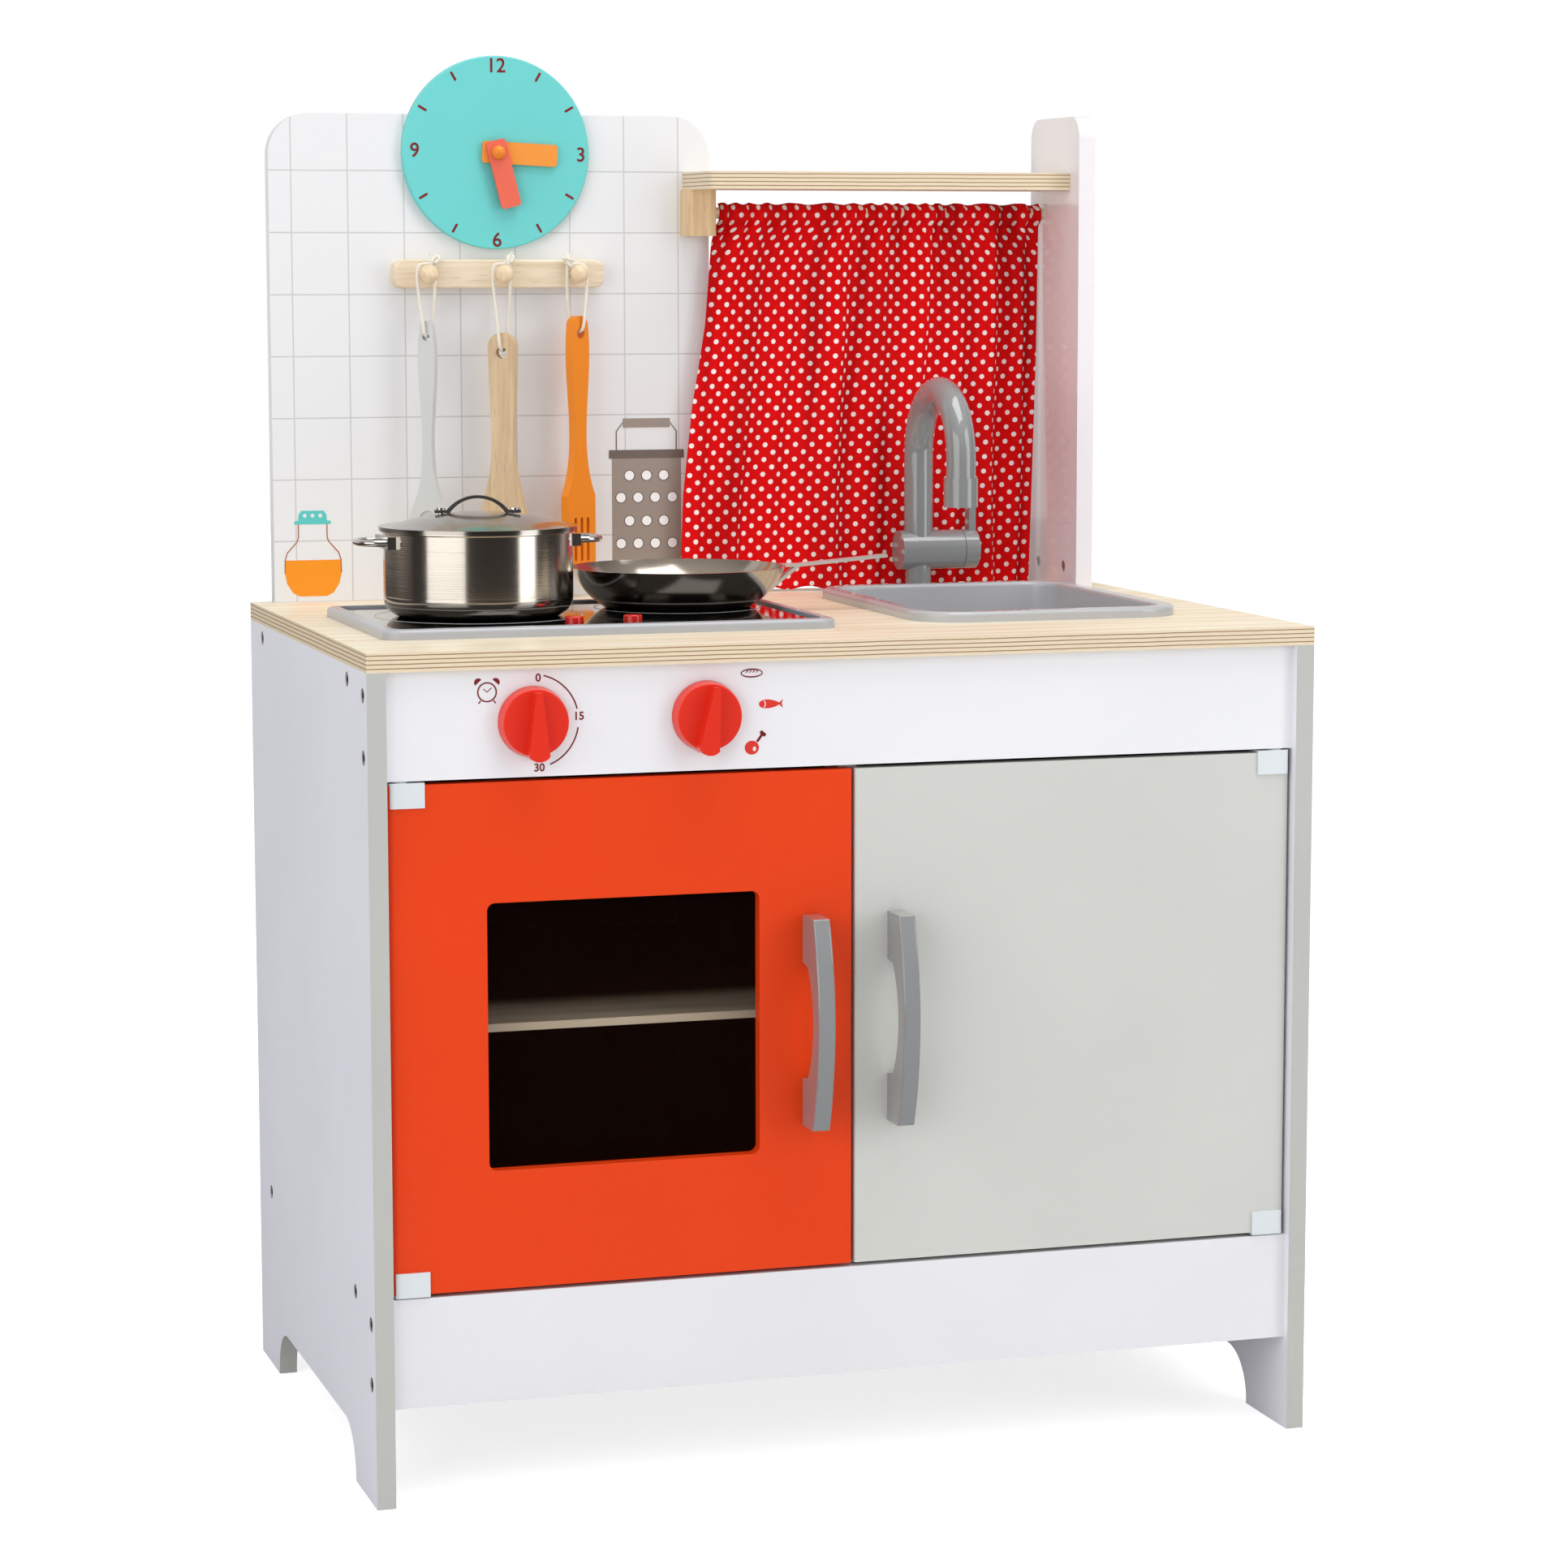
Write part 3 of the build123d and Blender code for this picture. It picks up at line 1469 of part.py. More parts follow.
def pan():
    """Shallow frying pan with flared, gently curved sides."""
    bottom = plate_top
    rim = plate_top + pan_height
    belly = bottom + pan_belly_height
    inner_rim = pan_radius - pan_wall * 1.3
    inner_flat = pan_base_radius - pan_wall / 2
    outline = [
        Line((0, bottom), (pan_base_radius, bottom)),
        ThreePointArc((pan_base_radius, bottom), (pan_belly_radius, belly), (pan_radius, rim)),
        Line((pan_radius, rim), (inner_rim, rim)),
        ThreePointArc(
            (inner_rim, rim),
            (pan_belly_radius - pan_wall, belly + pan_wall / 2),
            (inner_flat, bottom + pan_wall),
        ),
        Line((inner_flat, bottom + pan_wall), (0, bottom + pan_wall)),
        Line((0, bottom + pan_wall), (0, bottom)),
    ]
    return spun(outline, pan_x, pan_y)


def pan_handle():
    """Flat steel strip welded to the rim, with a strut down to the pan's belly."""
    rim = plate_top + pan_height
    strip = pan_handle_strip
    start = pan_radius + running
    bend = start + 2 * pan_handle_end
    tip = start + pan_handle_length
    tip_top = rim + pan_handle_rise
    upper = make_face([
        Line((start, rim - strip), (bend, rim - strip)),
        Line((bend, rim - strip), (tip, tip_top - strip)),
        Line((tip, tip_top - strip), (tip, tip_top)),
        Line((tip, tip_top), (bend, rim)),
        Line((bend, rim), (start, rim)),
        Line((start, rim), (start, rim - strip)),
    ])
    belly_x = pan_belly_radius + gap
    belly_z = plate_top + pan_belly_height
    strut = make_face([
        Line((belly_x, belly_z), (bend - strip, rim - strip / 2)),
        Line((bend - strip, rim - strip / 2), (bend + strip, rim - strip / 2)),
        Line((bend + strip, rim - strip / 2), (belly_x + strip, belly_z - strip / 2)),
        Line((belly_x + strip, belly_z - strip / 2), (belly_x, belly_z)),
    ])
    whole = extrude(front_plane(0, pan_handle_width / 2, 0) * upper, amount=pan_handle_width)
    whole += extrude(front_plane(0, pan_strut_width / 2, 0) * strut, amount=pan_strut_width)
    whole -= bar((tip - pan_handle_end, 0, rim - strip), UP, pan_handle_hole, pan_handle_rise + 2 * strip)
    return Pos(pan_x, pan_y, 0) * whole


# Utensils

def mirrored_outline(points, top_radius):
    """Closed outline of a utensil, mirrored about its own middle line."""
    right = Spline(*points)
    left = Spline(*[(-x, z) for x, z in points])
    top = points[0]
    cap = ThreePointArc((-top[0], top[1]), (0, top[1] + top_radius), (top[0], top[1]))
    low = points[-1]
    bottom = ThreePointArc((low[0], low[1]), (0, low[1] - low[0] * 0.6), (-low[0], low[1]))
    return make_face([cap, right, bottom, left])


def hung(solid, x, turn):
    """Turned about the upright line on which its hole and its peg lie."""
    return Pos(x, utensil_y, 0) * Rot(0, 0, turn) * Pos(-x, -utensil_y, 0) * solid


def utensil(x, hole_z, points, top_radius, hole_radius, thickness):
    """Flat utensil body with its hanging hole, centred on its plane."""
    outline = mirrored_outline(points, top_radius)
    back_face = front_plane(x, utensil_y + thickness / 2, hole_z)
    solid = extrude(back_face * outline, amount=thickness)
    solid -= bar((x, utensil_y + thickness, hole_z), FORWARD, hole_radius, 2 * thickness)
    return solid


def spoon_dish(x, z, thickness, half_width, half_length):
    """Shallow recess in the front of a spoon's bowl."""
    place = front_plane(x, utensil_y - thickness / 2 + dish_depth, z)
    return extrude(place * Ellipse(half_width, half_length), amount=2 * dish_depth, taper=-dish_slope)


def grey_spoon():
    """Moulded cooking spoon with a narrow handle and a shallow bowl."""
    x = peg_positions()[0]
    hole_z = rail_z - grey_hole_below_peg
    shape = [
        (grey_top_half, grey_top_rise),
        (grey_neck_half, -grey_neck_drop),
        (grey_stem_half, -grey_stem_drop),
        (grey_shoulder_half, -grey_shoulder_drop),
        (grey_bowl_half, -grey_bowl_drop),
        (grey_tip_half, -grey_tip_drop),
    ]
    solid = utensil(x, hole_z, shape, grey_top_half, grey_hole, grey_thickness)
    dish_z = hole_z - grey_dish_drop
    solid -= spoon_dish(x, dish_z, grey_thickness, grey_dish_half_width, grey_dish_half_length)
    return hung(solid, x, grey_turn)


def beech_spoon():
    """Turned and flattened beech spoon."""
    x = peg_positions()[1]
    hole_z = rail_z - beech_hole_below_peg
    shape = [
        (beech_top_half, beech_top_rise),
        (beech_neck_half, -beech_neck_drop),
        (beech_stem_half, -beech_stem_drop),
        (beech_shoulder_half, -beech_shoulder_drop),
        (beech_bowl_half, -beech_bowl_drop),
        (beech_tip_half, -beech_tip_drop),
    ]
    solid = utensil(x, hole_z, shape, beech_top_half, beech_hole, beech_thickness)
    dish_z = hole_z - beech_dish_drop
    solid -= spoon_dish(x, dish_z, beech_thickness, beech_dish_half_width, beech_dish_half_length)
    return hung(solid, x, beech_turn)


def spatula_outline():
    """Closed outline of the spatula about its hole: round top, waisted handle, square blade."""
    half = spatula_top_half
    corner_half = blade_half - blade_corner
    top = -blade_top_drop
    bottom = -blade_bottom_drop
    side = [
        (half, spatula_top_rise),
        (spatula_neck_half, -spatula_neck_drop),
        (spatula_stem_half, -spatula_stem_drop),
        (blade_half, top),
    ]
    return make_face([
        ThreePointArc((-half, spatula_top_rise), (0, spatula_top_rise + half), (half, spatula_top_rise)),
        Spline(*side),
        Line((blade_half, top), (blade_half, bottom + blade_corner)),
        Line((blade_half, bottom + blade_corner), (corner_half, bottom)),
        Line((corner_half, bottom), (-corner_half, bottom)),
        Line((-corner_half, bottom), (-blade_half, bottom + blade_corner)),
        Line((-blade_half, bottom + blade_corner), (-blade_half, top)),
        Spline(*[(-x, z) for x, z in reversed(side)]),
    ])


def orange_spatula():
    """Moulded spatula with three slots in its blade."""
    x = peg_positions()[2]
    hole_z = rail_z - spatula_hole_below_peg
    back_y = utensil_y + spatula_thickness / 2
    solid = extrude(front_plane(x, back_y, hole_z) * spatula_outline(), amount=spatula_thickness)
    solid -= bar((x, back_y, hole_z), FORWARD, spatula_hole, spatula_thickness)
    for slot_x in (-blade_slot_spacing, 0, blade_slot_spacing):
        slot = Rot(0, 0, 90) * SlotOverall(blade_slot_length, blade_slot_width)
        place = front_plane(x + slot_x, back_y, hole_z - blade_slot_drop)
        solid -= extrude(place * slot, amount=spatula_thickness)
    return hung(solid, x, spatula_turn)


# Hanging loops of cotton cord

def cord_wrap():
    """From the peg's middle line to the middle of the cord that hangs on it."""
    return peg_neck_radius + cord_clearance + cord_radius


def knot_place(x, knot_side):
    """Middle of the knot, above the peg and to one side, in front of the rail."""
    knot_y = rail_front - knot_from_rail - knot_radius
    return x + knot_side * (cord_wrap() - cord_radius), knot_y, rail_z + cord_wrap() + knot_above_wrap


def loop_route(x, knot_side, hole_z, hole_radius, thickness, turn):
    """Route from the knot over the peg's neck, through the turned hole and back to the knot."""
    wrap = cord_wrap()
    knot_y = knot_place(x, knot_side)[1]
    aside = thickness / 2 + cord_lift + cord_radius
    aside_x = aside * sin(radians(turn))
    aside_y = aside * cos(radians(turn))
    hole_run = hole_z + hole_radius - cord_radius - cord_rest_gap
    return [
        (x + knot_side * (wrap - 2 * cord_radius), knot_y, rail_z + wrap + cord_radius / 2),
        (x - knot_side * wrap, utensil_y - cord_lift, rail_z + wrap),
        (x + aside_x, utensil_y - aside_y, hole_run),
        (x - aside_x, utensil_y + aside_y, hole_run),
        (x + knot_side * (wrap + cord_radius / 4), knot_y, rail_z + wrap),
    ]


def corner_radii(points):
    """Radius of each corner: 0.45 of its shorter run over the tangent of half the turn."""
    radii = []
    for before, corner, after in zip(points, points[1:], points[2:]):
        first = Vector(*corner) - Vector(*before)
        second = Vector(*after) - Vector(*corner)
        half_turn = radians(first.get_angle(second)) / 2
        radii.append(0.45 * min(first.length, second.length) / tan(half_turn))
    return radii


def hanging_loop(name, x, knot_side, hole_z, hole_radius, thickness, turn):
    """Cotton cord loop with its knot, hung on a peg and passed through a utensil."""
    points = loop_route(x, knot_side, hole_z, hole_radius, thickness, turn)
    radii = corner_radii(points)
    path = FilletPolyline(*points, radius=radii)
    first_run = Vector(*points[1]) - Vector(*points[0])
    section = Plane(origin=points[0], z_dir=first_run) * Circle(cord_radius)
    tube = sweep(section, path.wire())
    ideal = pi * cord_radius ** 2 * path.length
    print(name, "radii", [round(r, 2) for r in radii], "length", round(path.length, 1),
          "volume over section times length", round(tube.volume / ideal, 4))
    knot = Plane(origin=knot_place(x, knot_side), x_dir=UP, z_dir=FORWARD) * Sphere(knot_radius)
    return tube + knot


def hung_utensils():
    """For each loop: peg, side of the knot, and the hole, thickness and turn of what hangs in it."""
    left, middle, right = peg_positions()
    grey_z = rail_z - grey_hole_below_peg
    beech_z = rail_z - beech_hole_below_peg
    spatula_z = rail_z - spatula_hole_below_peg
    return {
        "left_loop": (left, 1, grey_z, grey_hole, grey_thickness, grey_turn),
        "middle_loop": (middle, 1, beech_z, beech_hole, beech_thickness, beech_turn),
        "right_loop": (right, -1, spatula_z, spatula_hole, spatula_thickness, spatula_turn),
    }


def all_parts():
    parts = {
        "left_side_panel": with_shelf_pin_holes(side_panel(-1)),
        "right_side_panel": side_panel(1),
        "worktop": worktop(),
        "apron": apron(),
        "plinth": plinth(),
        "cabinet_floor": cabinet_floor(),
        "centre_divider": with_shelf_pin_holes(centre_divider()),
        "oven_shelf": oven_shelf(),
        "shelf_pins": shelf_pins(),
        "cabinet_back": cabinet_back(),
        "worktop_battens": worktop_battens(),
        "splash_board": splash_board(),
        "upright": upright(),
        "top_shelf": top_shelf(),
        "rod_block": rod_block(),
        "curtain_rod": curtain_rod(),
        "curtain": curtain(),
        "peg_rail": peg_rail(),
        "rail_pegs": rail_pegs(),
        "clock_face": clock_face(),
        "clock_pin": clock_pin(),
        "hob_housing": hob_housing(),
        "hob_plate": hob_plate(),
        "circuit_board": circuit_board(),
        "battery_cover": battery_cover(),
        "left_button": hob_button(0),
        "right_button": hob_button(1),
        "sink": sink(),
        "faucet": faucet(),
        "faucet_nut": faucet_nut(),
        "faucet_lever": faucet_lever(),
        "panel_bolts": group(side_bolts(-1) + side_bolts(1)),
        "upper_bolts": upper_bolts(),
        "barrel_nuts": barrel_nuts(),
        "left_door": oven_door(),
        "right_door": door(1),
        "oven_window": oven_window(),
        "left_handle": handle(-1),
        "right_handle": handle(1),
        "left_door_hardware": door_hardware(-1),
        "right_door_hardware": door_hardware(1),
        "left_hinges": hinges(-1),
        "right_hinges": hinges(1),
        "magnet_catches": magnet_catches(),
        "timer_knob": knob(timer_knob_x, timer_knob_turn),
        "oven_knob": knob(oven_knob_x, oven_knob_turn),
        "pot": pot(),
        "pot_handles": pot_handles(),
        "pot_lid": pot_lid(),
        "lid_handle": lid_handle(),
        "pan": pan(),
        "pan_handle": pan_handle(),
        "grey_spoon": grey_spoon(),
        "beech_spoon": beech_spoon(),
        "orange_spatula": orange_spatula(),
    }
    minute_back = clock_front - hand_gap
    hour_back = minute_back - hand_thickness - hand_gap
    parts["minute_hand"] = clock_hand(minute_back, minute_length, minute_width, minute_tail, minute_angle)
    parts["hour_hand"] = clock_hand(hour_back, hour_length, hour_width, hour_tail, hour_angle)
    for name, hanging in hung_utensils().items():
        parts[name] = hanging_loop(name, *hanging)
    return parts


os.makedirs("parts", exist_ok=True)
for node, solid in all_parts().items():
    export_step(solid, f"parts/{node}.step")
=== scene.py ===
import math

import bmesh
import bpy
from mathutils import Matrix, Vector


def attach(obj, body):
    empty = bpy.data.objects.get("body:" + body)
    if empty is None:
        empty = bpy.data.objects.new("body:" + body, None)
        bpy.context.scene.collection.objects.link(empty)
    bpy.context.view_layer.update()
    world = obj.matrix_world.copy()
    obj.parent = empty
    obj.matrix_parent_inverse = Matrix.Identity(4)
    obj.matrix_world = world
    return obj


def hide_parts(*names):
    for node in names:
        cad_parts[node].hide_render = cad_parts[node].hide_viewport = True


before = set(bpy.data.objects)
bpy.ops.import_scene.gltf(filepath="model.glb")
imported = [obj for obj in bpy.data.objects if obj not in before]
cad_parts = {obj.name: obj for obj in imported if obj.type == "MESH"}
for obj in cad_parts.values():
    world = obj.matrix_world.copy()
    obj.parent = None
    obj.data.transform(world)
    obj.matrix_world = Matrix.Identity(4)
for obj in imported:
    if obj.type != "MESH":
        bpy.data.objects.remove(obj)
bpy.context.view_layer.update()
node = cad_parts


# The view. The camera was fitted to the edges of the boards: it stands to the left of the
# kitchen, 2.6 m in front of it, and looks slightly down through a 96 mm lens.
def linked(name, data):
    """New object in the scene, which shows a mesh, curve, lamp or camera."""
    made = bpy.data.objects.new(name, data)
    bpy.context.scene.collection.objects.link(made)
    return made


camera_data = bpy.data.cameras.new("camera")
camera_data.sensor_width = 36.0
camera_data.lens = 95.67
camera_data.clip_end = 60.0
camera = linked("camera", camera_data)
view_right = Vector((0.955622547, -0.294592290, -0.000964394))
view_down = Vector((-0.0376224757, -0.118794720, -0.992205807))
view_forward = Vector((0.292181616, 0.948210524, -0.124606204))
turned = Matrix((view_right, -view_down, -view_forward)).transposed()
camera.matrix_world = Matrix.Translation((-0.8038, -2.6405, 0.7638)) @ turned.to_4x4()
bpy.context.scene.camera = camera
bpy.context.scene.view_settings.view_transform = "Standard"


# The three hanging loops: cream cotton cord, taut under the utensil's weight, laid over the
# peg's neck, passed through the utensil's hole and knotted beside the peg.
def linear(r, g, b):
    """Screen colour in 0 to 255 as the linear colour that a shader wants."""
    def channel(value):
        value /= 255.0
        return value / 12.92 if value <= 0.04045 else ((value + 0.055) / 1.055) ** 2.4
    return (channel(r), channel(g), channel(b), 1.0)


def shader_of(material):
    return material.node_tree.nodes["Principled BSDF"]


def new_material(name, colour, roughness=0.5, metallic=0.0, coat=0.0, specular=0.5):
    """Plain principled material; patterns are linked in where it is made."""
    made = bpy.data.materials.new(name)
    made.use_nodes = True
    shader = shader_of(made)
    shader.inputs["Base Color"].default_value = colour
    shader.inputs["Roughness"].default_value = roughness
    shader.inputs["Metallic"].default_value = metallic
    shader.inputs["Coat Weight"].default_value = coat
    shader.inputs["Specular IOR Level"].default_value = specular
    return made


def new_group(name, inputs, outputs):
    """Empty shader group with float inputs {name: default} and outputs {name: socket type}."""
    group = bpy.data.node_groups.new(name, "ShaderNodeTree")
    for label, value in inputs.items():
        socket = group.interface.new_socket(name=label, in_out="INPUT", socket_type="NodeSocketFloat")
        socket.default_value = value
    for label, kind in outputs.items():
        group.interface.new_socket(name=label, in_out="OUTPUT", socket_type=kind)
    start = group.nodes.new("NodeGroupInput")
    end = group.nodes.new("NodeGroupOutput")
    return group, start, end


def add(tree, kind, links=None, **settings):
    """New shader node with settings, and with inputs set to a value or linked to a socket."""
    made = tree.nodes.new(kind)
    for key, value in settings.items():
        setattr(made, key, value)
    for key, value in (links or {}).items():
        if isinstance(value, bpy.types.NodeSocket):
            tree.links.new(value, made.inputs[key])
        else:
            made.inputs[key].default_value = value
    return made


def use_group(material, group, **values):
    """Places a shader group in a material with its own values."""
    made = material.node_tree.nodes.new("ShaderNodeGroup")
    made.node_tree = group
    for label, value in values.items():
        made.inputs[label.replace("_", " ")].default_value = value
    return made


def bump_from(material, height, strength, distance):
    """Feeds a height socket through a bump node into the shader's normal."""
    tree = material.node_tree
    bump = add(tree, "ShaderNodeBump", {"Height": height, "Strength": strength, "Distance": distance})
    tree.links.new(bump.outputs["Normal"], shader_of(material).inputs["Normal"])


def link_colour(material, socket):
    material.node_tree.links.new(socket, shader_of(material).inputs["Base Color"])


def mixed(tree, factor, first, second, blend="MIX"):
    """Mix node for colours, whose result socket it returns."""
    made = add(tree, "ShaderNodeMix", data_type="RGBA", blend_type=blend)
    for index, value in ((0, factor), (6, first), (7, second)):
        if isinstance(value, bpy.types.NodeSocket):
            tree.links.new(value, made.inputs[index])
        else:
            made.inputs[index].default_value = value
    return made.outputs[2]


def dress(name, material):
    """Gives a CAD node its finish."""
    slots = node[name].data.materials
    slots.clear()
    slots.append(material)


def finished(name, mesh, body, material, smooth=True):
    """Makes an object at the origin from a mesh, gives it a finish and lets it ride on a body."""
    made = linked(name, mesh)
    mesh.materials.clear()
    mesh.materials.append(material)
    for face in mesh.polygons:
        face.use_smooth = smooth
    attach(made, body)
    return made


def plain_mesh(source):
    """Final mesh of a curve, a text or a grown object, which is deleted."""
    bpy.context.view_layer.update()
    mesh = bpy.data.meshes.new_from_object(source.evaluated_get(bpy.context.evaluated_depsgraph_get()))
    bpy.data.objects.remove(source)
    return mesh


cord_radius = 0.0011
peg_x = (-0.190, -0.137, -0.084)
peg_z = 0.755
hang_y = 0.182
knot_y = 0.1839
cord_wrap = 0.006
cotton = new_material("cotton cord", linear(246, 240, 226), roughness=0.9)
cotton_place = add(cotton.node_tree, "ShaderNodeTexCoord")
cotton_strands = add(
    cotton.node_tree,
    "ShaderNodeTexWave",
    {"Vector": cotton_place.outputs["Object"], "Scale": 520.0, "Distortion": 2.5, "Detail": 1.0},
    bands_direction="DIAGONAL",
)
link_colour(
    cotton,
    mixed(cotton.node_tree, cotton_strands.outputs["Fac"], linear(226, 216, 196), linear(250, 246, 236)),
)
bump_from(cotton, cotton_strands.outputs["Fac"], 0.5, 0.0004)


def loop_points(x, side, hole_z, hole_radius, thickness, turn):
    """The cord's route: from the knot over the neck, down the far side, through the turned hole from the
    front to the back, and up again. The listed points keep it clear of the peg."""
    aside = thickness / 2 + 0.0014 + cord_radius
    aside_x, aside_y = aside * math.sin(math.radians(turn)), aside * math.cos(math.radians(turn))
    hole_run = hole_z + hole_radius - cord_radius - 0.0015
    front_x, back_x = x + aside_x, x - aside_x
    return [
        (x + side * 0.0038, knot_y, peg_z + cord_wrap + 0.0006),
        (x - side * 0.0012, 0.1828, peg_z + cord_wrap + 0.0014),
        (x - side * 0.0068, 0.1812, peg_z + 0.0056),
        (x - side * 0.0070, 0.1806, peg_z - 0.0050),
        (x - side * 0.0062, 0.1800, peg_z - 0.0140),
        (front_x - side * 0.0012, hang_y - aside_y, hole_run + 0.0120),
        (front_x, hang_y - aside_y, hole_run),
        (back_x, hang_y + aside_y, hole_run),
        (back_x + side * 0.0012, hang_y + aside_y, hole_run + 0.0120),
        (x + side * 0.0064, 0.1856, peg_z - 0.0130),
        (x + side * 0.0063, knot_y, peg_z + cord_wrap),
    ]


def knot_mesh(name, centre, lean):
    """Overhand knot: a trefoil of cord pulled tight, with a short frayed tail."""
    loop_size, wide, deep, lift = 0.0017, 0.95, 0.40, 0.0021
    curve = bpy.data.curves.new(name, "CURVE")
    curve.dimensions = "3D"
    curve.bevel_depth = cord_radius * 1.12
    curve.bevel_resolution = 3
    spline = curve.splines.new("NURBS")
    count = 18
    spline.points.add(count - 1)
    for i in range(count):
        t = 2 * math.pi * i / count
        away = loop_size * (2 + math.cos(3 * t))
        point = Vector((wide * away * math.cos(2 * t), deep * away * math.sin(2 * t), lift * math.sin(3 * t)))
        point = Matrix.Rotation(lean, 3, "Y") @ point + Vector(centre)
        spline.points[i].co = (*point, 1.0)
    spline.use_cyclic_u = True
    spline.order_u = 4
    tail = curve.splines.new("NURBS")
    tail.points.add(3)
    direction = Vector((math.copysign(0.45, centre[0] - peg_x[1] + 0.02), -0.1, 1.0))
    for i in range(4):
        point = Vector(centre) + direction * (0.0019 * i) + Vector((0.0006 * math.sin(2.0 * i), 0, 0))
        tail.points[i].co = (*point, 1.0)
        tail.points[i].radius = 1.0 - 0.1 * i
    tail.order_u = 3
    tail.use_endpoint_u = True
    return plain_mesh(linked(name, curve))


loops = (
    ("left", 1, "grey_spoon", 0.7122, 0.0027, 0.006, -35, 0.115, -0.6),
    ("middle", 1, "beech_spoon", 0.7010, 0.0040, 0.008, -30, 0.136, -1.0),
    ("right", -1, "orange_spatula", 0.7139, 0.0036, 0.007, 30, 0.111, 0.9),
)
for x, (side, way, body, hole_z, hole_radius, thickness, turn, length, lean) in zip(peg_x, loops):
    points = loop_points(x, way, hole_z, hole_radius, thickness, turn)
    curve = bpy.data.curves.new(f"{side}_cord", "CURVE")
    curve.dimensions = "3D"
    curve.bevel_depth = cord_radius
    curve.bevel_resolution = 4
    spline = curve.splines.new("NURBS")
    spline.points.add(len(points) - 1)
    for place, point in zip(spline.points, points):
        place.co = (*point, 1.0)
    spline.order_u = 3
    spline.use_endpoint_u = True
    cord = linked(f"{side}_cord", curve)
    curve.materials.append(cotton)
    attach(cord, body)
    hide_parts(f"{side}_loop")
    knot_centre = (x + way * 0.0054, knot_y, peg_z + 0.0090)
    knot = finished(f"{side}_knot", knot_mesh(f"{side}_knot", knot_centre, lean), body, cotton)


# The room. Nothing of it belongs to the kitchen: a pale floor that fades into white, soft lamps
# on the left, the right and above, and an even surround. Steel and gloss mirror a darker room,
# which is pale only above and behind the kitchen.
def calc(tree, operation, first, second=None):
    """Result socket of a maths node whose inputs are values or sockets."""
    inputs = {0: first} if second is None else {0: first, 1: second}
    return add(tree, "ShaderNodeMath", inputs, operation=operation).outputs[0]


def ranged(tree, value, start=0.0, end=1.0, low=0.0, high=1.0, **settings):
    """Result socket of a node that maps start to low and end to high."""
    inputs = {"Value": value, "From Min": start, "From Max": end, "To Min": low, "To Max": high}
    return add(tree, "ShaderNodeMapRange", inputs, **settings).outputs["Result"]


def split(tree, socket):
    """Sockets X, Y and Z of a vector."""
    return add(tree, "ShaderNodeSeparateXYZ", {0: socket}).outputs


def shader_mix(tree, factor, first, second):
    """Node that shows its first shader where the factor is 0 and its second where it is 1."""
    return add(tree, "ShaderNodeMixShader", {0: factor, 1: first.outputs[0], 2: second.outputs[0]})


floor_mesh = bpy.data.meshes.new("floor")
floor_size = 9.0
floor_corners = [(floor_size * x, floor_size * y, 0) for x, y in ((-1, -1), (1, -1), (1, 1), (-1, 1))]
floor_mesh.from_pydata(floor_corners, [], [(0, 1, 2, 3)])
floor = linked("floor", floor_mesh)
floor_paint = new_material("floor", (0.86, 0.86, 0.86, 1.0), roughness=0.9)
floor_tree = floor_paint.node_tree
floor_path = add(floor_tree, "ShaderNodeLightPath")
floor_glow = add(floor_tree, "ShaderNodeEmission", {"Color": (1.0, 1.0, 1.0, 1.0), "Strength": 0.64})
floor_none = add(floor_tree, "ShaderNodeEmission", {"Strength": 0.0})
floor_unlit = add(floor_tree, "ShaderNodeEmission", {"Color": (1.0, 0.90, 0.80, 1.0), "Strength": 0.05})
floor_seen = shader_mix(floor_tree, floor_path.outputs["Is Camera Ray"], floor_none, floor_glow)
floor_shaders = {0: shader_of(floor_paint).outputs[0], 1: floor_seen.outputs[0]}
floor_lit = add(floor_tree, "ShaderNodeAddShader", floor_shaders)
floor_end = shader_mix(floor_tree, floor_path.outputs["Is Glossy Ray"], floor_lit, floor_unlit)
floor_tree.links.new(floor_end.outputs[0], floor_tree.nodes["Material Output"].inputs["Surface"])
floor_mesh.materials.append(floor_paint)

world = bpy.data.worlds.new("surround")
bpy.context.scene.world = world
world.use_nodes = True
world_tree = world.node_tree
world_path = add(world_tree, "ShaderNodeLightPath")
world_seen = calc(
    world_tree, "MAXIMUM", world_path.outputs["Is Camera Ray"], world_path.outputs["Is Transmission Ray"],
)
world_light = add(world_tree, "ShaderNodeBackground", {"Color": (0.94, 0.955, 1.0, 1.0), "Strength": 0.55})
world_white = add(world_tree, "ShaderNodeBackground", {"Color": (1.0, 1.0, 1.0, 1.0), "Strength": 1.0})
world_way = add(world_tree, "ShaderNodeTexCoord")
world_parts = split(world_tree, world_way.outputs["Generated"])
world_sky = ranged(world_tree, world_parts["Z"], start=0.2, end=0.8, low=0.035, high=0.55)
world_back = ranged(world_tree, world_parts["Y"], start=0.1, end=0.6, low=0.0, high=0.75)
world_most = calc(world_tree, "MAXIMUM", world_sky, world_back)
world_glow = {"Color": (1.0, 0.92, 0.84, 1.0), "Strength": world_most}
world_room = add(world_tree, "ShaderNodeBackground", world_glow)
world_shine = shader_mix(world_tree, world_path.outputs["Is Glossy Ray"], world_light, world_room)
world_end = shader_mix(world_tree, world_seen, world_shine, world_white)
world_tree.links.new(world_end.outputs[0], world_tree.nodes["World Output"].inputs["Surface"])

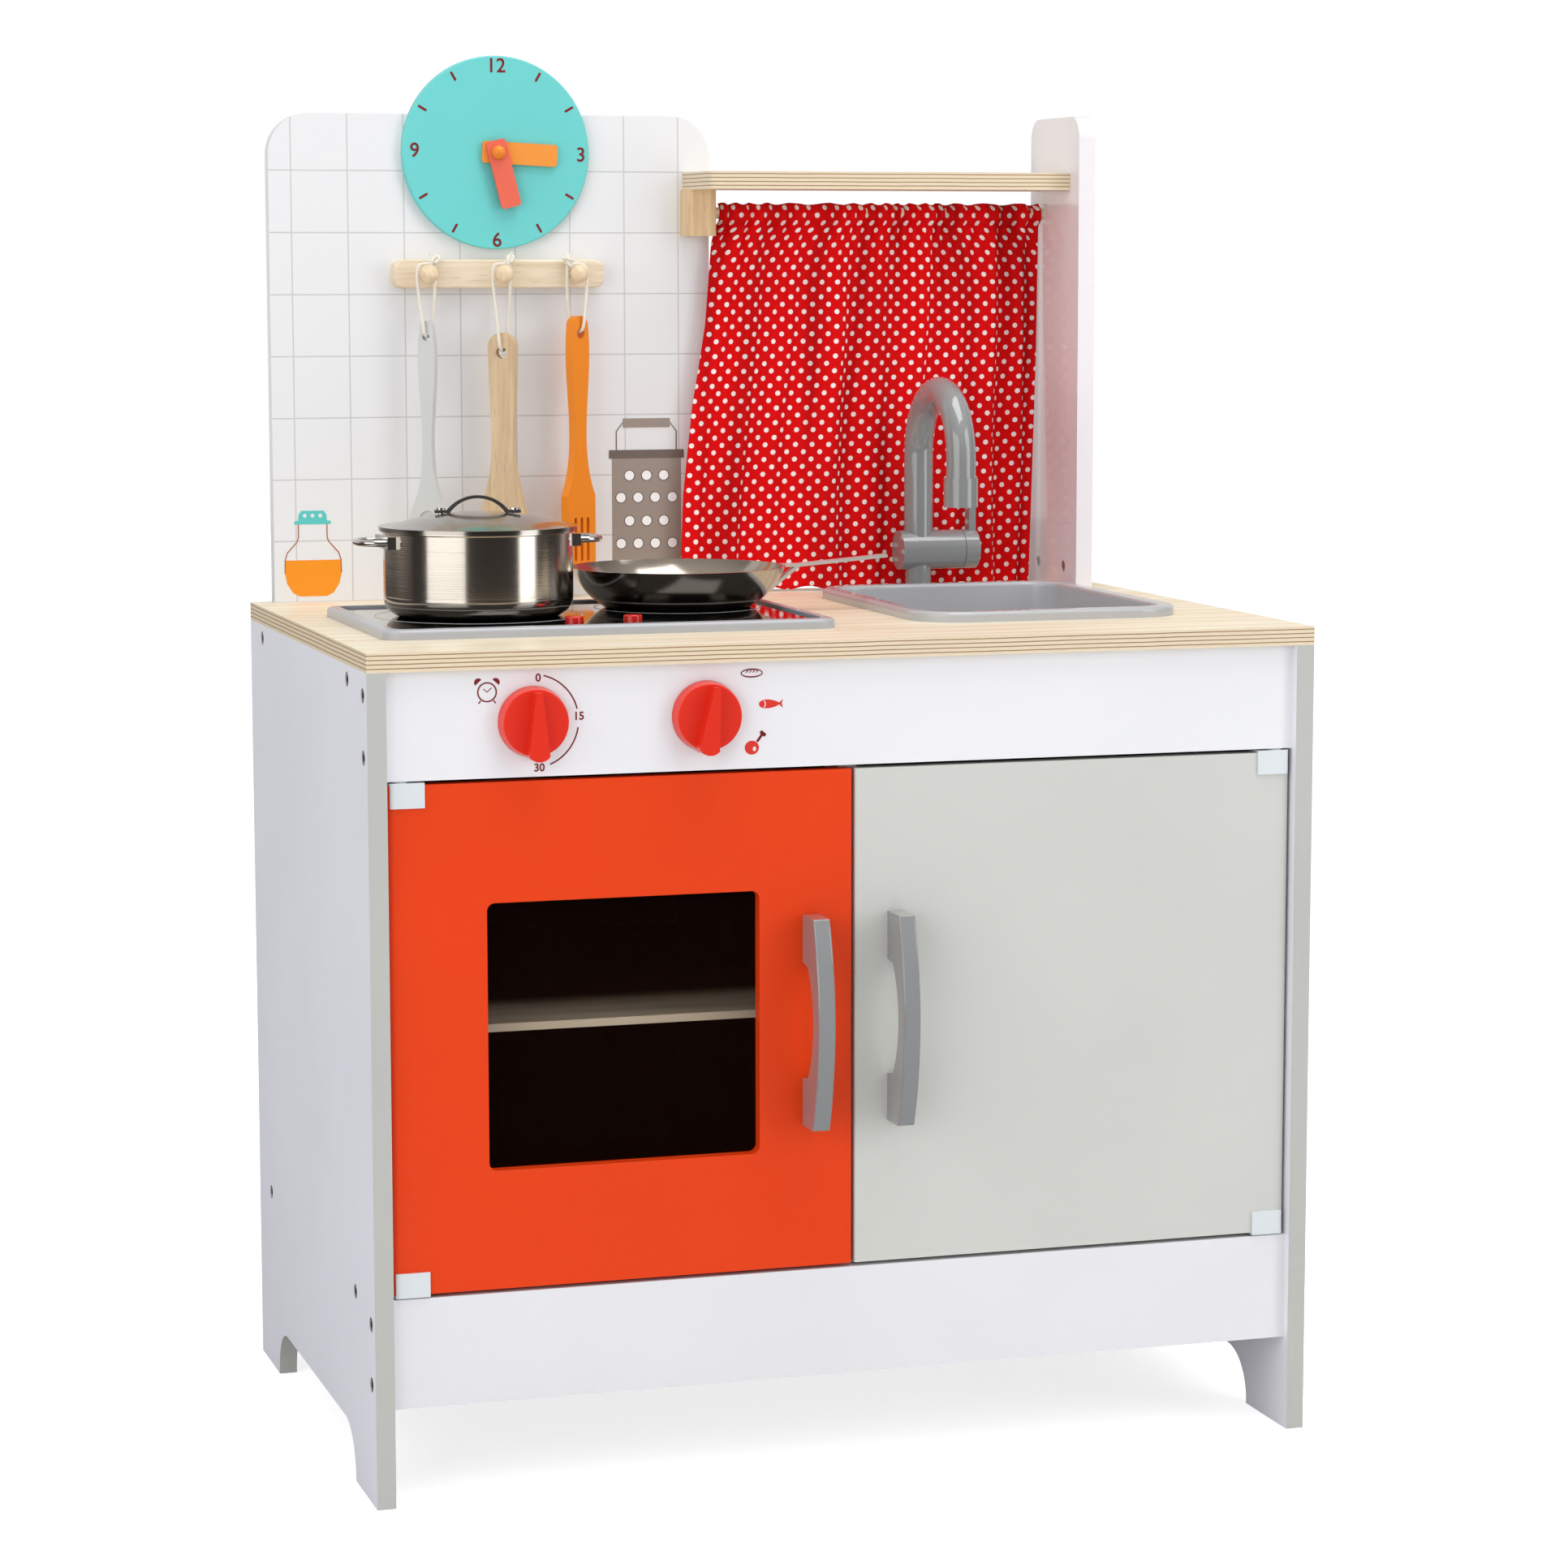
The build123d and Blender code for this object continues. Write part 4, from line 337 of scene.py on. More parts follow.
lamps = (
    ("left softbox", (-2.33, -1.66, 1.15), (2.6, 1.9), 29.0, (1.0, 0.99, 0.98)),
    ("right softbox", (1.95, -1.90, 1.20), (1.2, 2.4), 21.0, (0.98, 0.99, 1.0)),
    ("top softbox", (0.2, -0.6, 2.8), (1.6, 1.6), 31.0, (1.0, 1.0, 1.0)),
)
for name, place, size, power, tint in lamps:
    lamp_data = bpy.data.lights.new(name, "AREA")
    lamp_data.shape = "RECTANGLE"
    lamp_data.size, lamp_data.size_y = size
    lamp_data.energy = power
    lamp_data.color = tint
    lamp = linked(name, lamp_data)
    lamp.location = place
    lamp.rotation_euler = (Vector((0.0, 0.0, 0.45)) - Vector(place)).to_track_quat("-Z", "Y").to_euler()


# The carcass boards: fibreboard sprayed with satin paint, white on the faces and light grey
# along the cut edges, bolted through the side panels into apron, plinth and floor.
def noise(tree, place, scale, detail, **inputs):
    """Socket of a noise texture's value."""
    inputs = {"Vector": place, "Scale": scale, "Detail": detail, **inputs}
    return add(tree, "ShaderNodeTexNoise", inputs).outputs["Fac"]


paint_skin, skin_in, skin_out = new_group(
    "paint skin",
    {"Scale": 900.0, "Wear": 0.04},
    {"Height": "NodeSocketFloat", "Tone": "NodeSocketFloat"},
)
skin_place = add(paint_skin, "ShaderNodeTexCoord")
skin_peel = noise(paint_skin, skin_place.outputs["Object"], skin_in.outputs["Scale"], 2.0)
skin_cloud = noise(paint_skin, skin_place.outputs["Object"], 7.0, 3.0)
skin_low = calc(paint_skin, "SUBTRACT", 1.0, skin_in.outputs["Wear"])
skin_tone = ranged(paint_skin, skin_cloud, start=0.3, end=0.7, low=skin_low, high=1.0)
paint_skin.links.new(skin_peel, skin_out.inputs["Height"])
paint_skin.links.new(skin_tone, skin_out.inputs["Tone"])


def grey(tree, tone):
    """Colour socket that holds one tone in all three channels."""
    return add(tree, "ShaderNodeCombineColor", {0: tone, 1: tone, 2: tone}).outputs[0]


def painted(name, colour, edge_colour=None, roughness=0.42, coat=0.0, specular=0.5):
    """Sprayed board; with an edge colour, all but its faces towards left and right have that."""
    made = new_material(name, colour, roughness=roughness, coat=coat, specular=specular)
    tree = made.node_tree
    skin = use_group(made, paint_skin)
    shown = colour
    if edge_colour:
        place = add(tree, "ShaderNodeTexCoord")
        sideways = calc(tree, "ABSOLUTE", split(tree, place.outputs["Normal"])["X"])
        face = calc(tree, "GREATER_THAN", sideways, 0.75)
        shown = mixed(tree, face, edge_colour, colour)
    link_colour(made, mixed(tree, 1.0, shown, grey(tree, skin.outputs["Tone"]), "MULTIPLY"))
    bump_from(made, skin.outputs["Height"], 0.12, 0.0002)
    return made


panel_white = linear(236, 236, 243)
edge_grey = linear(190, 191, 185)
side_paint = painted("side panel paint", panel_white, edge_grey)
front_paint = painted("front rail paint", linear(237, 237, 239))
inner_paint = painted("inner paint", linear(226, 224, 220))
# Dark brown for the sheet laid inside the oven: painted shade of the dim oven.
oven_shade_paint = painted("painted oven shade", linear(46, 27, 20), roughness=0.6, specular=0.1)
upright_paint = painted("upright paint", linear(243, 238, 241), roughness=0.24, coat=0.6)
for name in ("left_side_panel", "right_side_panel"):
    dress(name, side_paint)
dress("apron", front_paint)
dress("plinth", painted("plinth paint", linear(231, 231, 233)))
for name in ("cabinet_floor", "centre_divider", "cabinet_back", "worktop_battens"):
    dress(name, inner_paint)
dress("upright", upright_paint)


# The plywood: birch worktop, top shelf and the thin oven shelf. The faces show long pale
# grain and the cut edges the glued layers, lighter and darker by turns.
def stretched(tree, place, scale):
    """Socket of coordinates scaled by a factor for each axis."""
    return add(tree, "ShaderNodeMapping", {"Vector": place, "Scale": scale}).outputs[0]


worktop_bottom = 0.518
veneer = 0.00133
ply_grain, ply_in, ply_out = new_group(
    "birch plywood",
    {"Bottom": worktop_bottom, "Layer": veneer},
    {"Color": "NodeSocketColor", "Height": "NodeSocketFloat"},
)
ply_place = add(ply_grain, "ShaderNodeTexCoord")
ply_stretch = stretched(ply_grain, ply_place.outputs["Object"], (1.6, 26.0, 26.0))
ply_long = noise(ply_grain, ply_stretch, 3.2, 6.0, Roughness=0.62, Distortion=0.5)
ply_wide = stretched(ply_grain, ply_place.outputs["Object"], (1.1, 7.0, 7.0))
ply_cathedral = add(
    ply_grain, "ShaderNodeTexWave",
    {"Vector": ply_wide, "Scale": 1.9, "Distortion": 7.5, "Detail": 3.0, "Detail Scale": 1.1},
    bands_direction="Y",
)
ply_face = add(ply_grain, "ShaderNodeValToRGB", {"Fac": ply_long})
ply_shades = ((0.32, (236, 214, 176)), (0.66, (253, 243, 220)))
for stop, (position, shade) in zip(ply_face.color_ramp.elements, ply_shades):
    stop.position = position
    stop.color = linear(*shade)
ply_figure = mixed(ply_grain, 0.08, ply_face.outputs["Color"], ply_cathedral.outputs["Color"], "MULTIPLY")
ply_height = split(ply_grain, ply_place.outputs["Object"])["Z"]
ply_wobble = noise(ply_grain, ply_place.outputs["Object"], 22.0, 2.0)
ply_shift = ranged(ply_grain, ply_wobble, low=-0.0003, high=0.0003)
ply_up = calc(ply_grain, "SUBTRACT", ply_height, ply_in.outputs["Bottom"])
ply_bent = calc(ply_grain, "ADD", ply_up, ply_shift)
ply_count = calc(ply_grain, "DIVIDE", ply_bent, ply_in.outputs["Layer"])
ply_half = calc(ply_grain, "MODULO", ply_count, 2.0)
ply_dark = calc(ply_grain, "GREATER_THAN", ply_half, 1.5)
ply_fibre = stretched(ply_grain, ply_place.outputs["Object"], (30.0, 30.0, 700.0))
ply_speckle = noise(ply_grain, ply_fibre, 4.0, 3.0)
ply_layers = mixed(ply_grain, ply_dark, linear(240, 224, 194), linear(166, 130, 92))
ply_edge = mixed(ply_grain, ply_speckle, ply_layers, linear(150, 120, 88), "MULTIPLY")
ply_edge = mixed(ply_grain, 0.3, ply_layers, ply_edge)
ply_flat = calc(ply_grain, "ABSOLUTE", split(ply_grain, ply_place.outputs["Normal"])["Z"])
ply_is_face = calc(ply_grain, "GREATER_THAN", ply_flat, 0.7)
ply_grain.links.new(mixed(ply_grain, ply_is_face, ply_edge, ply_figure), ply_out.inputs["Color"])
ply_grain.links.new(ply_long, ply_out.inputs["Height"])


def plywood(name, bottom, layer=veneer, shade_from=None):
    """Birch plywood; with a place along the depth given, the part behind it is painted dark as painted shade.
    """
    made = new_material(name, linear(240, 222, 188), roughness=0.42)
    tree = made.node_tree
    grain = use_group(made, ply_grain, Bottom=bottom, Layer=layer)
    shown = grain.outputs["Color"]
    # Painted shade: the board turns dark behind the given place along its depth.
    if shade_from:
        place = add(tree, "ShaderNodeTexCoord")
        depth = split(tree, place.outputs["Object"])["Y"]
        fade = 0.02
        back_shade = ranged(
            tree, depth, start=shade_from - fade, end=shade_from + fade, interpolation_type="SMOOTHSTEP",
        )
        shown = mixed(tree, back_shade, shown, linear(58, 36, 22))
    link_colour(made, shown)
    bump_from(made, grain.outputs["Height"], 0.12, 0.0004)
    return made


dress("worktop", plywood("worktop plywood", worktop_bottom))
dress("top_shelf", plywood("top shelf plywood", bottom=0.813))
# The oven shelf's back is painted dark: painted shade under the window's top frame.
dress("oven_shelf", plywood("oven shelf plywood", bottom=0.2875, layer=0.0050, shade_from=-0.075))


# The beech pieces: peg rail, pegs, rod block, curtain rod and the wooden spoon, sanded and
# left bare, pale cream with short fine flecks along the grain.
def beech(name, along, dark=(222, 200, 168), light=(244, 230, 206)):
    """Bare beech whose flecks run along one axis."""
    made = new_material(name, linear(*light), roughness=0.55)
    tree = made.node_tree
    place = add(tree, "ShaderNodeTexCoord")
    scale = [4 if axis == along else 70 for axis in "XYZ"]
    grain = noise(tree, stretched(tree, place.outputs["Object"], scale), 4.0, 5.0, Roughness=0.6)
    fleck_place = stretched(tree, place.outputs["Object"], [value * 4 for value in scale])
    fleck = add(tree, "ShaderNodeTexVoronoi", {"Vector": fleck_place, "Scale": 2.4})
    marks = ranged(tree, fleck.outputs["Distance"], start=0.05, end=0.2)
    tone = ranged(tree, grain, start=0.3, end=0.7)
    base = mixed(tree, tone, linear(*dark), linear(*light))
    link_colour(made, mixed(tree, marks, linear(*[int(v * 0.86) for v in dark]), base))
    bump_from(made, grain, 0.15, 0.0003)
    return made


beech_along_x = beech("beech along x", "X")
dress("peg_rail", beech_along_x)
dress("curtain_rod", beech_along_x)
dress("rod_block", beech("beech upright", "Z", dark=(210, 176, 130), light=(234, 206, 164)))
dress("rail_pegs", beech("turned beech", "Y", dark=(222, 194, 154), light=(242, 222, 190)))
dress("beech_spoon", beech("spoon beech", "Z", dark=(198, 168, 130), light=(222, 196, 158)))


# The splash board: fibreboard faced with a printed tile pattern of thin grey lines, with a
# jar and a grater printed on it above the worktop.
tile_left = -0.2795
tile_width = 0.03915
tile_bottom = 0.530
tile_height = 0.0422
tile_line = 0.0009
tile_white = linear(232, 232, 233)
tiles = new_material("tile print", tile_white, roughness=0.3)
tile_tree = tiles.node_tree
tile_place = add(tile_tree, "ShaderNodeTexCoord")
tile_parts = split(tile_tree, tile_place.outputs["Object"])
tile_masks = []
for axis, start, pitch in (("X", tile_left, tile_width), ("Z", tile_bottom, tile_height)):
    shifted = calc(tile_tree, "SUBTRACT", tile_parts[axis], start - tile_line / 2)
    counted = calc(tile_tree, "FLOORED_MODULO", shifted, pitch)
    tile_masks.append(calc(tile_tree, "LESS_THAN", counted, tile_line))
tile_mask = calc(tile_tree, "MAXIMUM", *tile_masks)
tile_front = calc(tile_tree, "LESS_THAN", split(tile_tree, tile_place.outputs["Normal"])["Y"], -0.7)
tile_shown = calc(tile_tree, "MULTIPLY", tile_mask, tile_front)
link_colour(tiles, mixed(tile_tree, tile_shown, tile_white, linear(202, 202, 201)))
tile_skin = use_group(tiles, paint_skin, Scale=500.0)
bump_from(tiles, tile_skin.outputs["Height"], 0.05, 0.0002)
dress("splash_board", tiles)

print_depth = 0.00012


def outline_print(name, shapes, y, material):
    """Flat printed figure facing the front. Each shape is a closed outline of (x, z) points,
    and an outline that lies inside another leaves a hole."""
    curve = bpy.data.curves.new(name, "CURVE")
    curve.dimensions = "2D"
    curve.fill_mode = "BOTH"
    curve.extrude = print_depth / 2
    for shape in shapes:
        spline = curve.splines.new("POLY")
        spline.points.add(len(shape) - 1)
        for point, (x, z) in zip(spline.points, shape):
            point.co = (x, z, 0.0, 1.0)
        spline.use_cyclic_u = True
    mesh = plain_mesh(linked(name, curve))
    mesh.transform(Matrix.Translation((0, y, 0)) @ Matrix.Rotation(math.pi / 2, 4, "X"))
    return finished(name, mesh, "cabinet", material, smooth=False)


def ring(x, z, radius, count=28, start=0.0, end=2 * math.pi, squash=1.0):
    """Points round a centre, from one angle to another."""
    span = end - start
    steps = count if abs(span - 2 * math.pi) < 1e-6 else count + 1
    angles = [start + span * i / count for i in range(steps)]
    return [(x + radius * math.cos(t), z + squash * radius * math.sin(t)) for t in angles]


def stroke(points, width):
    """Outline of a line of even width with square ends, along an open path."""
    left, right = [], []
    for i, point in enumerate(points):
        before = points[max(i - 1, 0)]
        after = points[min(i + 1, len(points) - 1)]
        dx, dz = after[0] - before[0], after[1] - before[1]
        size = math.hypot(dx, dz) or 1.0
        nx, nz = -dz / size * width / 2, dx / size * width / 2
        left.append((point[0] + nx, point[1] + nz))
        right.append((point[0] - nx, point[1] - nz))
    return left + right[::-1]


board_face = 0.202
board_print_y = board_face - print_depth / 2
board_over_y = board_print_y - print_depth
print_orange = new_material("orange print", linear(246, 150, 26), roughness=0.35)
print_brown = new_material("brown print", linear(176, 96, 66), roughness=0.35)
print_turquoise = new_material("turquoise print", linear(92, 200, 196), roughness=0.35)
print_taupe = new_material("taupe print", linear(158, 145, 136), roughness=0.35)
print_taupe_dark = new_material("dark taupe print", linear(116, 102, 96), roughness=0.35)
print_white = new_material("white print", linear(250, 250, 250), roughness=0.35)

jar_x = -0.268
jar_half = [
    (0.0095, 0.5340), (0.0140, 0.5362), (0.0184, 0.5430), (0.0197, 0.5500), (0.0195, 0.5590),
    (0.0180, 0.5640), (0.0140, 0.5685), (0.0112, 0.5715), (0.0100, 0.5745), (0.0100, 0.5838),
]
jar_right = [(jar_x + x, z) for x, z in jar_half]
jar_left = [(jar_x - x, z) for x, z in jar_half]
outline_print("jar_juice", [jar_right[:5] + jar_left[:5][::-1]], board_print_y, print_orange)
for side, path in (("left", jar_left), ("right", jar_right)):
    outline_print(f"jar_outline_{side}", [stroke(path[3:], 0.0007)], board_over_y, print_brown)
lid_bottom = 0.5837
lid_half = [(0.0128, 0.0), (0.0128, 0.0022), (0.0100, 0.0026), (0.0098, 0.0066), (0.0078, 0.0094)]
lid_left = [(jar_x - x, lid_bottom + z) for x, z in lid_half]
lid_right = [(jar_x + x, lid_bottom + z) for x, z in lid_half]
lid_dots = [ring(jar_x + offset, lid_bottom + 0.0060, 0.0014, 16) for offset in (-0.0054, 0.0, 0.0054)]
outline_print("jar_lid", [lid_left + lid_right[::-1]] + lid_dots, board_print_y, print_turquoise)


def rectangle(left, right, bottom, top):
    return [(left, bottom), (right, bottom), (right, top), (left, top)]


grater_left, grater_right = -0.0545, -0.0040
grater_bottom, grater_top = 0.5340, 0.6257
grater_middle = (grater_left + grater_right) / 2
grater_body = rectangle(grater_left, grater_right, grater_bottom, grater_top)
outline_print("grater_body", [grater_body], board_print_y, print_taupe)
collar_out = 0.0021
collar_top = grater_top + 0.0060
collar = rectangle(grater_left - collar_out, grater_right + collar_out, grater_top, collar_top)
outline_print("grater_collar", [collar], board_over_y, print_taupe_dark)
bow_half = 0.0219
bow_left, bow_right = grater_middle - bow_half, grater_middle + bow_half
bow_top = 0.6506
corner_x, corner_z = 0.0045, 0.0060
bow = [
    (bow_left, collar_top), (bow_left, bow_top - corner_z), (bow_left + corner_x, bow_top),
    (bow_right - corner_x, bow_top), (bow_right, bow_top - corner_z), (bow_right, collar_top),
]
outline_print("grater_bow", [stroke(bow, 0.0009)], board_print_y, print_taupe_dark)
grip_half, grip_thick = 0.0172, 0.0064
grip = rectangle(
    grater_middle - grip_half, grater_middle + grip_half, bow_top - grip_thick / 2, bow_top + grip_thick / 2,
)
outline_print("grater_grip", [grip], board_over_y, print_taupe)
hole_rows = [(0.6137, 3), (0.5982, 4), (0.5818, 3), (0.5658, 4), (0.5500, 3)]
punch_radius, rim_radius, punch_step = 0.0034, 0.0041, 0.0125
holes, hole_rims = [], []
for hole_z, number in hole_rows:
    for i in range(number):
        hole_x = grater_middle + (i - (number - 1) / 2) * punch_step
        hole = ring(hole_x, hole_z, punch_radius, 20)
        holes.append(hole)
        hole_rims += [ring(hole_x, hole_z, rim_radius, 20), hole]
outline_print("grater_holes", holes, board_over_y, print_white)
outline_print("grater_hole_rims", hole_rims, board_over_y, print_taupe_dark)


# The doors: sprayed fibreboard, the oven's orange-red and the cupboard's light warm grey. The
# oven's pane is clear acrylic with a faint brown tint, held behind the leaf.
dress("left_door", painted("orange door paint", linear(232, 65, 14), roughness=0.4, specular=0.22))
dress("right_door", painted("grey door paint", linear(208, 209, 202), roughness=0.38))
pane = new_material("tinted acrylic", linear(40, 20, 12), roughness=0.05, specular=0.3)
pane_skin = use_group(pane, paint_skin, Scale=60.0, Wear=0.3)
pane_haze = ranged(pane.node_tree, pane_skin.outputs["Tone"], low=0.10, high=0.14)
pane.node_tree.links.new(pane_haze, shader_of(pane).inputs["Alpha"])
dress("oven_window", pane)


# The oven's dark inside: a dark brown sheet laid on the walls behind the window, painted shade that makes the
# oven look deep and dim. It lies on the divider, panel, back and floor.
shade_sheet_gap = 0.0004
shade_sheet_drop = 0.018
oven_low = Vector((-0.298, -0.140, 0.130))
oven_high = Vector((-0.006, 0.210, 0.518))
shade_sheet_bmesh = bmesh.new()


def shade_sheet_face(corners):
    shade_sheet_bmesh.faces.new([shade_sheet_bmesh.verts.new(corner) for corner in corners])


x0, y0, z0 = oven_low + Vector((shade_sheet_gap, 0, shade_sheet_gap))
x1, y1, z1 = oven_high - Vector((shade_sheet_gap, shade_sheet_gap, shade_sheet_drop))
shade_sheet_face([(x0, y1, z0), (x1, y1, z0), (x1, y1, z1), (x0, y1, z1)][::-1])
shade_sheet_face([(x0, y0, z0), (x0, y1, z0), (x0, y1, z1), (x0, y0, z1)][::-1])
shade_sheet_face([(x1, y0, z0), (x1, y1, z0), (x1, y1, z1), (x1, y0, z1)])
shade_sheet_face([(x0, y0, z0), (x1, y0, z0), (x1, y1, z0), (x0, y1, z0)])
shade_sheet_mesh = bpy.data.meshes.new("oven_shade_sheet")
shade_sheet_bmesh.to_mesh(shade_sheet_mesh)
shade_sheet_bmesh.free()
shade_sheet_piece = finished("oven_shade_sheet", shade_sheet_mesh, "cabinet", oven_shade_paint, smooth=False)
thick = shade_sheet_piece.modifiers.new("sheet", "SOLIDIFY")
thick.thickness = 0.0003
thick.offset = 1.0


# The fittings of the doors: grey moulded bow handles, milky white corner clips with their
# pins, black magnet catches and zinc-plated steel plates and screws.
def moulded(name, colour, roughness=0.35, coat=0.0):
    """Moulded plastic with the faint orange peel of a polished tool."""
    made = new_material(name, colour, roughness=roughness, coat=coat)
    skin = use_group(made, paint_skin, Scale=420.0, Wear=0.06)
    tree = made.node_tree
    link_colour(made, mixed(tree, 1.0, colour, grey(tree, skin.outputs["Tone"]), "MULTIPLY"))
    bump_from(made, skin.outputs["Height"], 0.08, 0.0003)
    return made


grey_plastic = moulded("grey moulded plastic", linear(142, 144, 144), roughness=0.14, coat=1.0)
clip_plastic = moulded("white clip plastic", linear(224, 230, 232), roughness=0.25, coat=0.3)
black_plastic = moulded("black plastic", linear(28, 28, 30), roughness=0.45)
zinc = new_material("zinc-plated steel", linear(186, 187, 190), roughness=0.34, metallic=1.0)
for name in ("left_handle", "right_handle", "faucet", "faucet_lever"):
    dress(name, grey_plastic)
for name in ("left_hinges", "right_hinges"):
    dress(name, clip_plastic)
for name in ("magnet_catches", "faucet_nut"):
    dress(name, black_plastic)
for name in (
    "panel_bolts", "upper_bolts", "barrel_nuts", "left_door_hardware", "right_door_hardware", "shelf_pins",
):
    dress(name, zinc)


# The screw sockets: a thin dark hexagon of painted shade in the head of each bolt on the outside of the
# panels, standing for the shaded hex recess. A tree of geometry nodes sets one on every point of a mesh.
def socket_tree():
    """Geometry nodes: a thin hexagonal prism on every point of the input mesh."""
    tree = bpy.data.node_groups.new("bolt sockets", "GeometryNodeTree")
    tree.interface.new_socket(name="Points", in_out="INPUT", socket_type="NodeSocketGeometry")
    radius = tree.interface.new_socket(name="Socket radius", in_out="INPUT", socket_type="NodeSocketFloat")
    finish = tree.interface.new_socket(name="Finish", in_out="INPUT", socket_type="NodeSocketMaterial")
    tree.interface.new_socket(name="Sockets", in_out="OUTPUT", socket_type="NodeSocketGeometry")
    start = tree.nodes.new("NodeGroupInput")
    end = tree.nodes.new("NodeGroupOutput")
    prism = add(tree, "GeometryNodeMeshCylinder", {
        "Vertices": 6, "Depth": 0.0002, "Radius": start.outputs["Socket radius"],
    })
    place = add(tree, "GeometryNodeInstanceOnPoints", {
        "Points": start.outputs["Points"], "Instance": prism.outputs["Mesh"],
        "Rotation": (0.0, math.pi / 2, 0.0),
    })
    real = add(tree, "GeometryNodeRealizeInstances", {"Geometry": place.outputs["Instances"]})
    paint = add(tree, "GeometryNodeSetMaterial", {
        "Geometry": real.outputs["Geometry"], "Material": start.outputs["Finish"],
    })
    tree.links.new(paint.outputs["Geometry"], end.inputs["Sockets"])
    return tree, radius.identifier, finish.identifier


def grown(name, points, tree, inputs, body, material):
    """Runs a geometry-nodes tree on a mesh of points and keeps the result as a plain mesh."""
    seed_mesh = bpy.data.meshes.new(name)
    seed_mesh.from_pydata(points, [], [])
    seed = linked(name + "_seed", seed_mesh)
    modifier = seed.modifiers.new("grow", "NODES")
    modifier.node_group = tree
    for identifier, value in inputs.items():
        modifier[identifier] = value
    finished(name, plain_mesh(seed), body, material, smooth=False)


socket_shade_paint = new_material("socket shadow", linear(24, 26, 30), roughness=0.7)
bolt_rows = [(-0.174, 0.0765), (-0.174, 0.1145), (-0.174, 0.46575), (-0.174, 0.50375)]
bolt_rows += [(-0.126, 0.124), (0.169, 0.124), (-0.126, 0.509), (0.169, 0.509)]
socket_x = 0.3096
socket_points = [(side * socket_x, y, z) for side in (-1, 1) for y, z in bolt_rows]
sockets, socket_size, socket_finish = socket_tree()
grown(
    "bolt_sockets", socket_points, sockets, {socket_size: 0.0022, socket_finish: socket_shade_paint}, "cabinet",
    socket_shade_paint,
)


# The hob: a silver-grey moulded frame round a black gloss plate, with two red push buttons and
# two burner rings printed in pale grey. The sink is moulded in a lighter grey.
silver_plastic = moulded("silver grey plastic", linear(178, 180, 184), roughness=0.3, coat=0.2)
hob_black = moulded("black gloss plate", linear(16, 15, 16), roughness=0.06, coat=0.6)
red_plastic = moulded("red button plastic", linear(226, 36, 26), roughness=0.2, coat=0.4)
board_green = new_material("circuit board", linear(34, 96, 60), roughness=0.5)
for name in ("hob_housing", "battery_cover"):
    dress(name, silver_plastic)
dress("sink", moulded("sink grey plastic", linear(184, 185, 187), roughness=0.22, coat=0.4))
dress("hob_plate", hob_black)
for name in ("left_button", "right_button"):
    dress(name, red_plastic)
dress("circuit_board", board_green)

plate_top = 0.535


def level_print(name, shapes, z, material):
    """Flat printed figure that faces up; outlines are (x, y) points."""
    made = outline_print(name, shapes, 0, material)
    made.data.transform(Matrix.Translation((0, 0, z)) @ Matrix.Rotation(-math.pi / 2, 4, "X"))


print_grey = new_material("pale grey print", linear(206, 206, 206), roughness=0.3)
pot_centre = (-0.1965, 0.005)
pan_centre = (-0.055, 0.030)
ring_width = 0.0009
burner_rings = [
    ring(*centre, radius - inward, 72)
    for centre, radius in ((pot_centre, 0.068), (pan_centre, 0.056))
    for inward in (0.0, ring_width)
]
level_print("burner_rings", burner_rings, plate_top + print_depth / 2, print_grey)


# The knobs: red moulded plastic, satin, with the timer's dial printed on the apron in dark red
# beside the left one and pictures of food beside the right one.
knob_red = moulded("red knob plastic", linear(232, 44, 20), roughness=0.3, coat=0.15)
dress("timer_knob", knob_red)
dress("oven_knob", knob_red)
print_dark_red = new_material("dark red print", linear(126, 26, 30), roughness=0.4)
print_red = new_material("red print", linear(225, 50, 35), roughness=0.4)
apron_face = -0.180
apron_print_y = apron_face - print_depth / 2
apron_over_y = apron_print_y - print_depth


def numeral(text, x, z, height, y):
    """Plain printed number, centred on a point, as a thin mesh that faces the front."""
    size_to_height, boldness = 1.4, 0.00016
    curve = bpy.data.curves.new("number " + text, "FONT")
    curve.body = text
    curve.align_x = "CENTER"
    curve.align_y = "CENTER"
    curve.size = height * size_to_height
    curve.extrude = print_depth / 2
    curve.offset = boldness
    mesh = plain_mesh(linked("number", curve))
    spans = [[vertex.co[i] for vertex in mesh.vertices] for i in (0, 1)]
    middle_x, middle_y = [(min(span) + max(span)) / 2 for span in spans]
    upright = Matrix.Translation((x, y, z)) @ Matrix.Rotation(math.pi / 2, 4, "X")
    mesh.transform(upright @ Matrix.Translation((-middle_x, -middle_y, 0)))
    finished(f"number_{text}_cabinet", mesh, "cabinet", print_dark_red, smooth=False)


timer_x, knob_z = -0.206, 0.485
for text, x, z in (("0", -0.2024, 0.5118), ("15", -0.1765, 0.4875), ("30", -0.2020, 0.4566)):
    numeral(text, x, z, 0.0049, apron_print_y)
dial_radius = 0.0288
dial_arcs = []
for start, end in ((76, 14), (-9, -68)):
    path = ring(timer_x, knob_z, dial_radius, 24, math.radians(start), math.radians(end))
    dial_arcs.append(stroke(path, 0.0009))
outline_print("timer_arcs", dial_arcs, apron_print_y, print_dark_red)

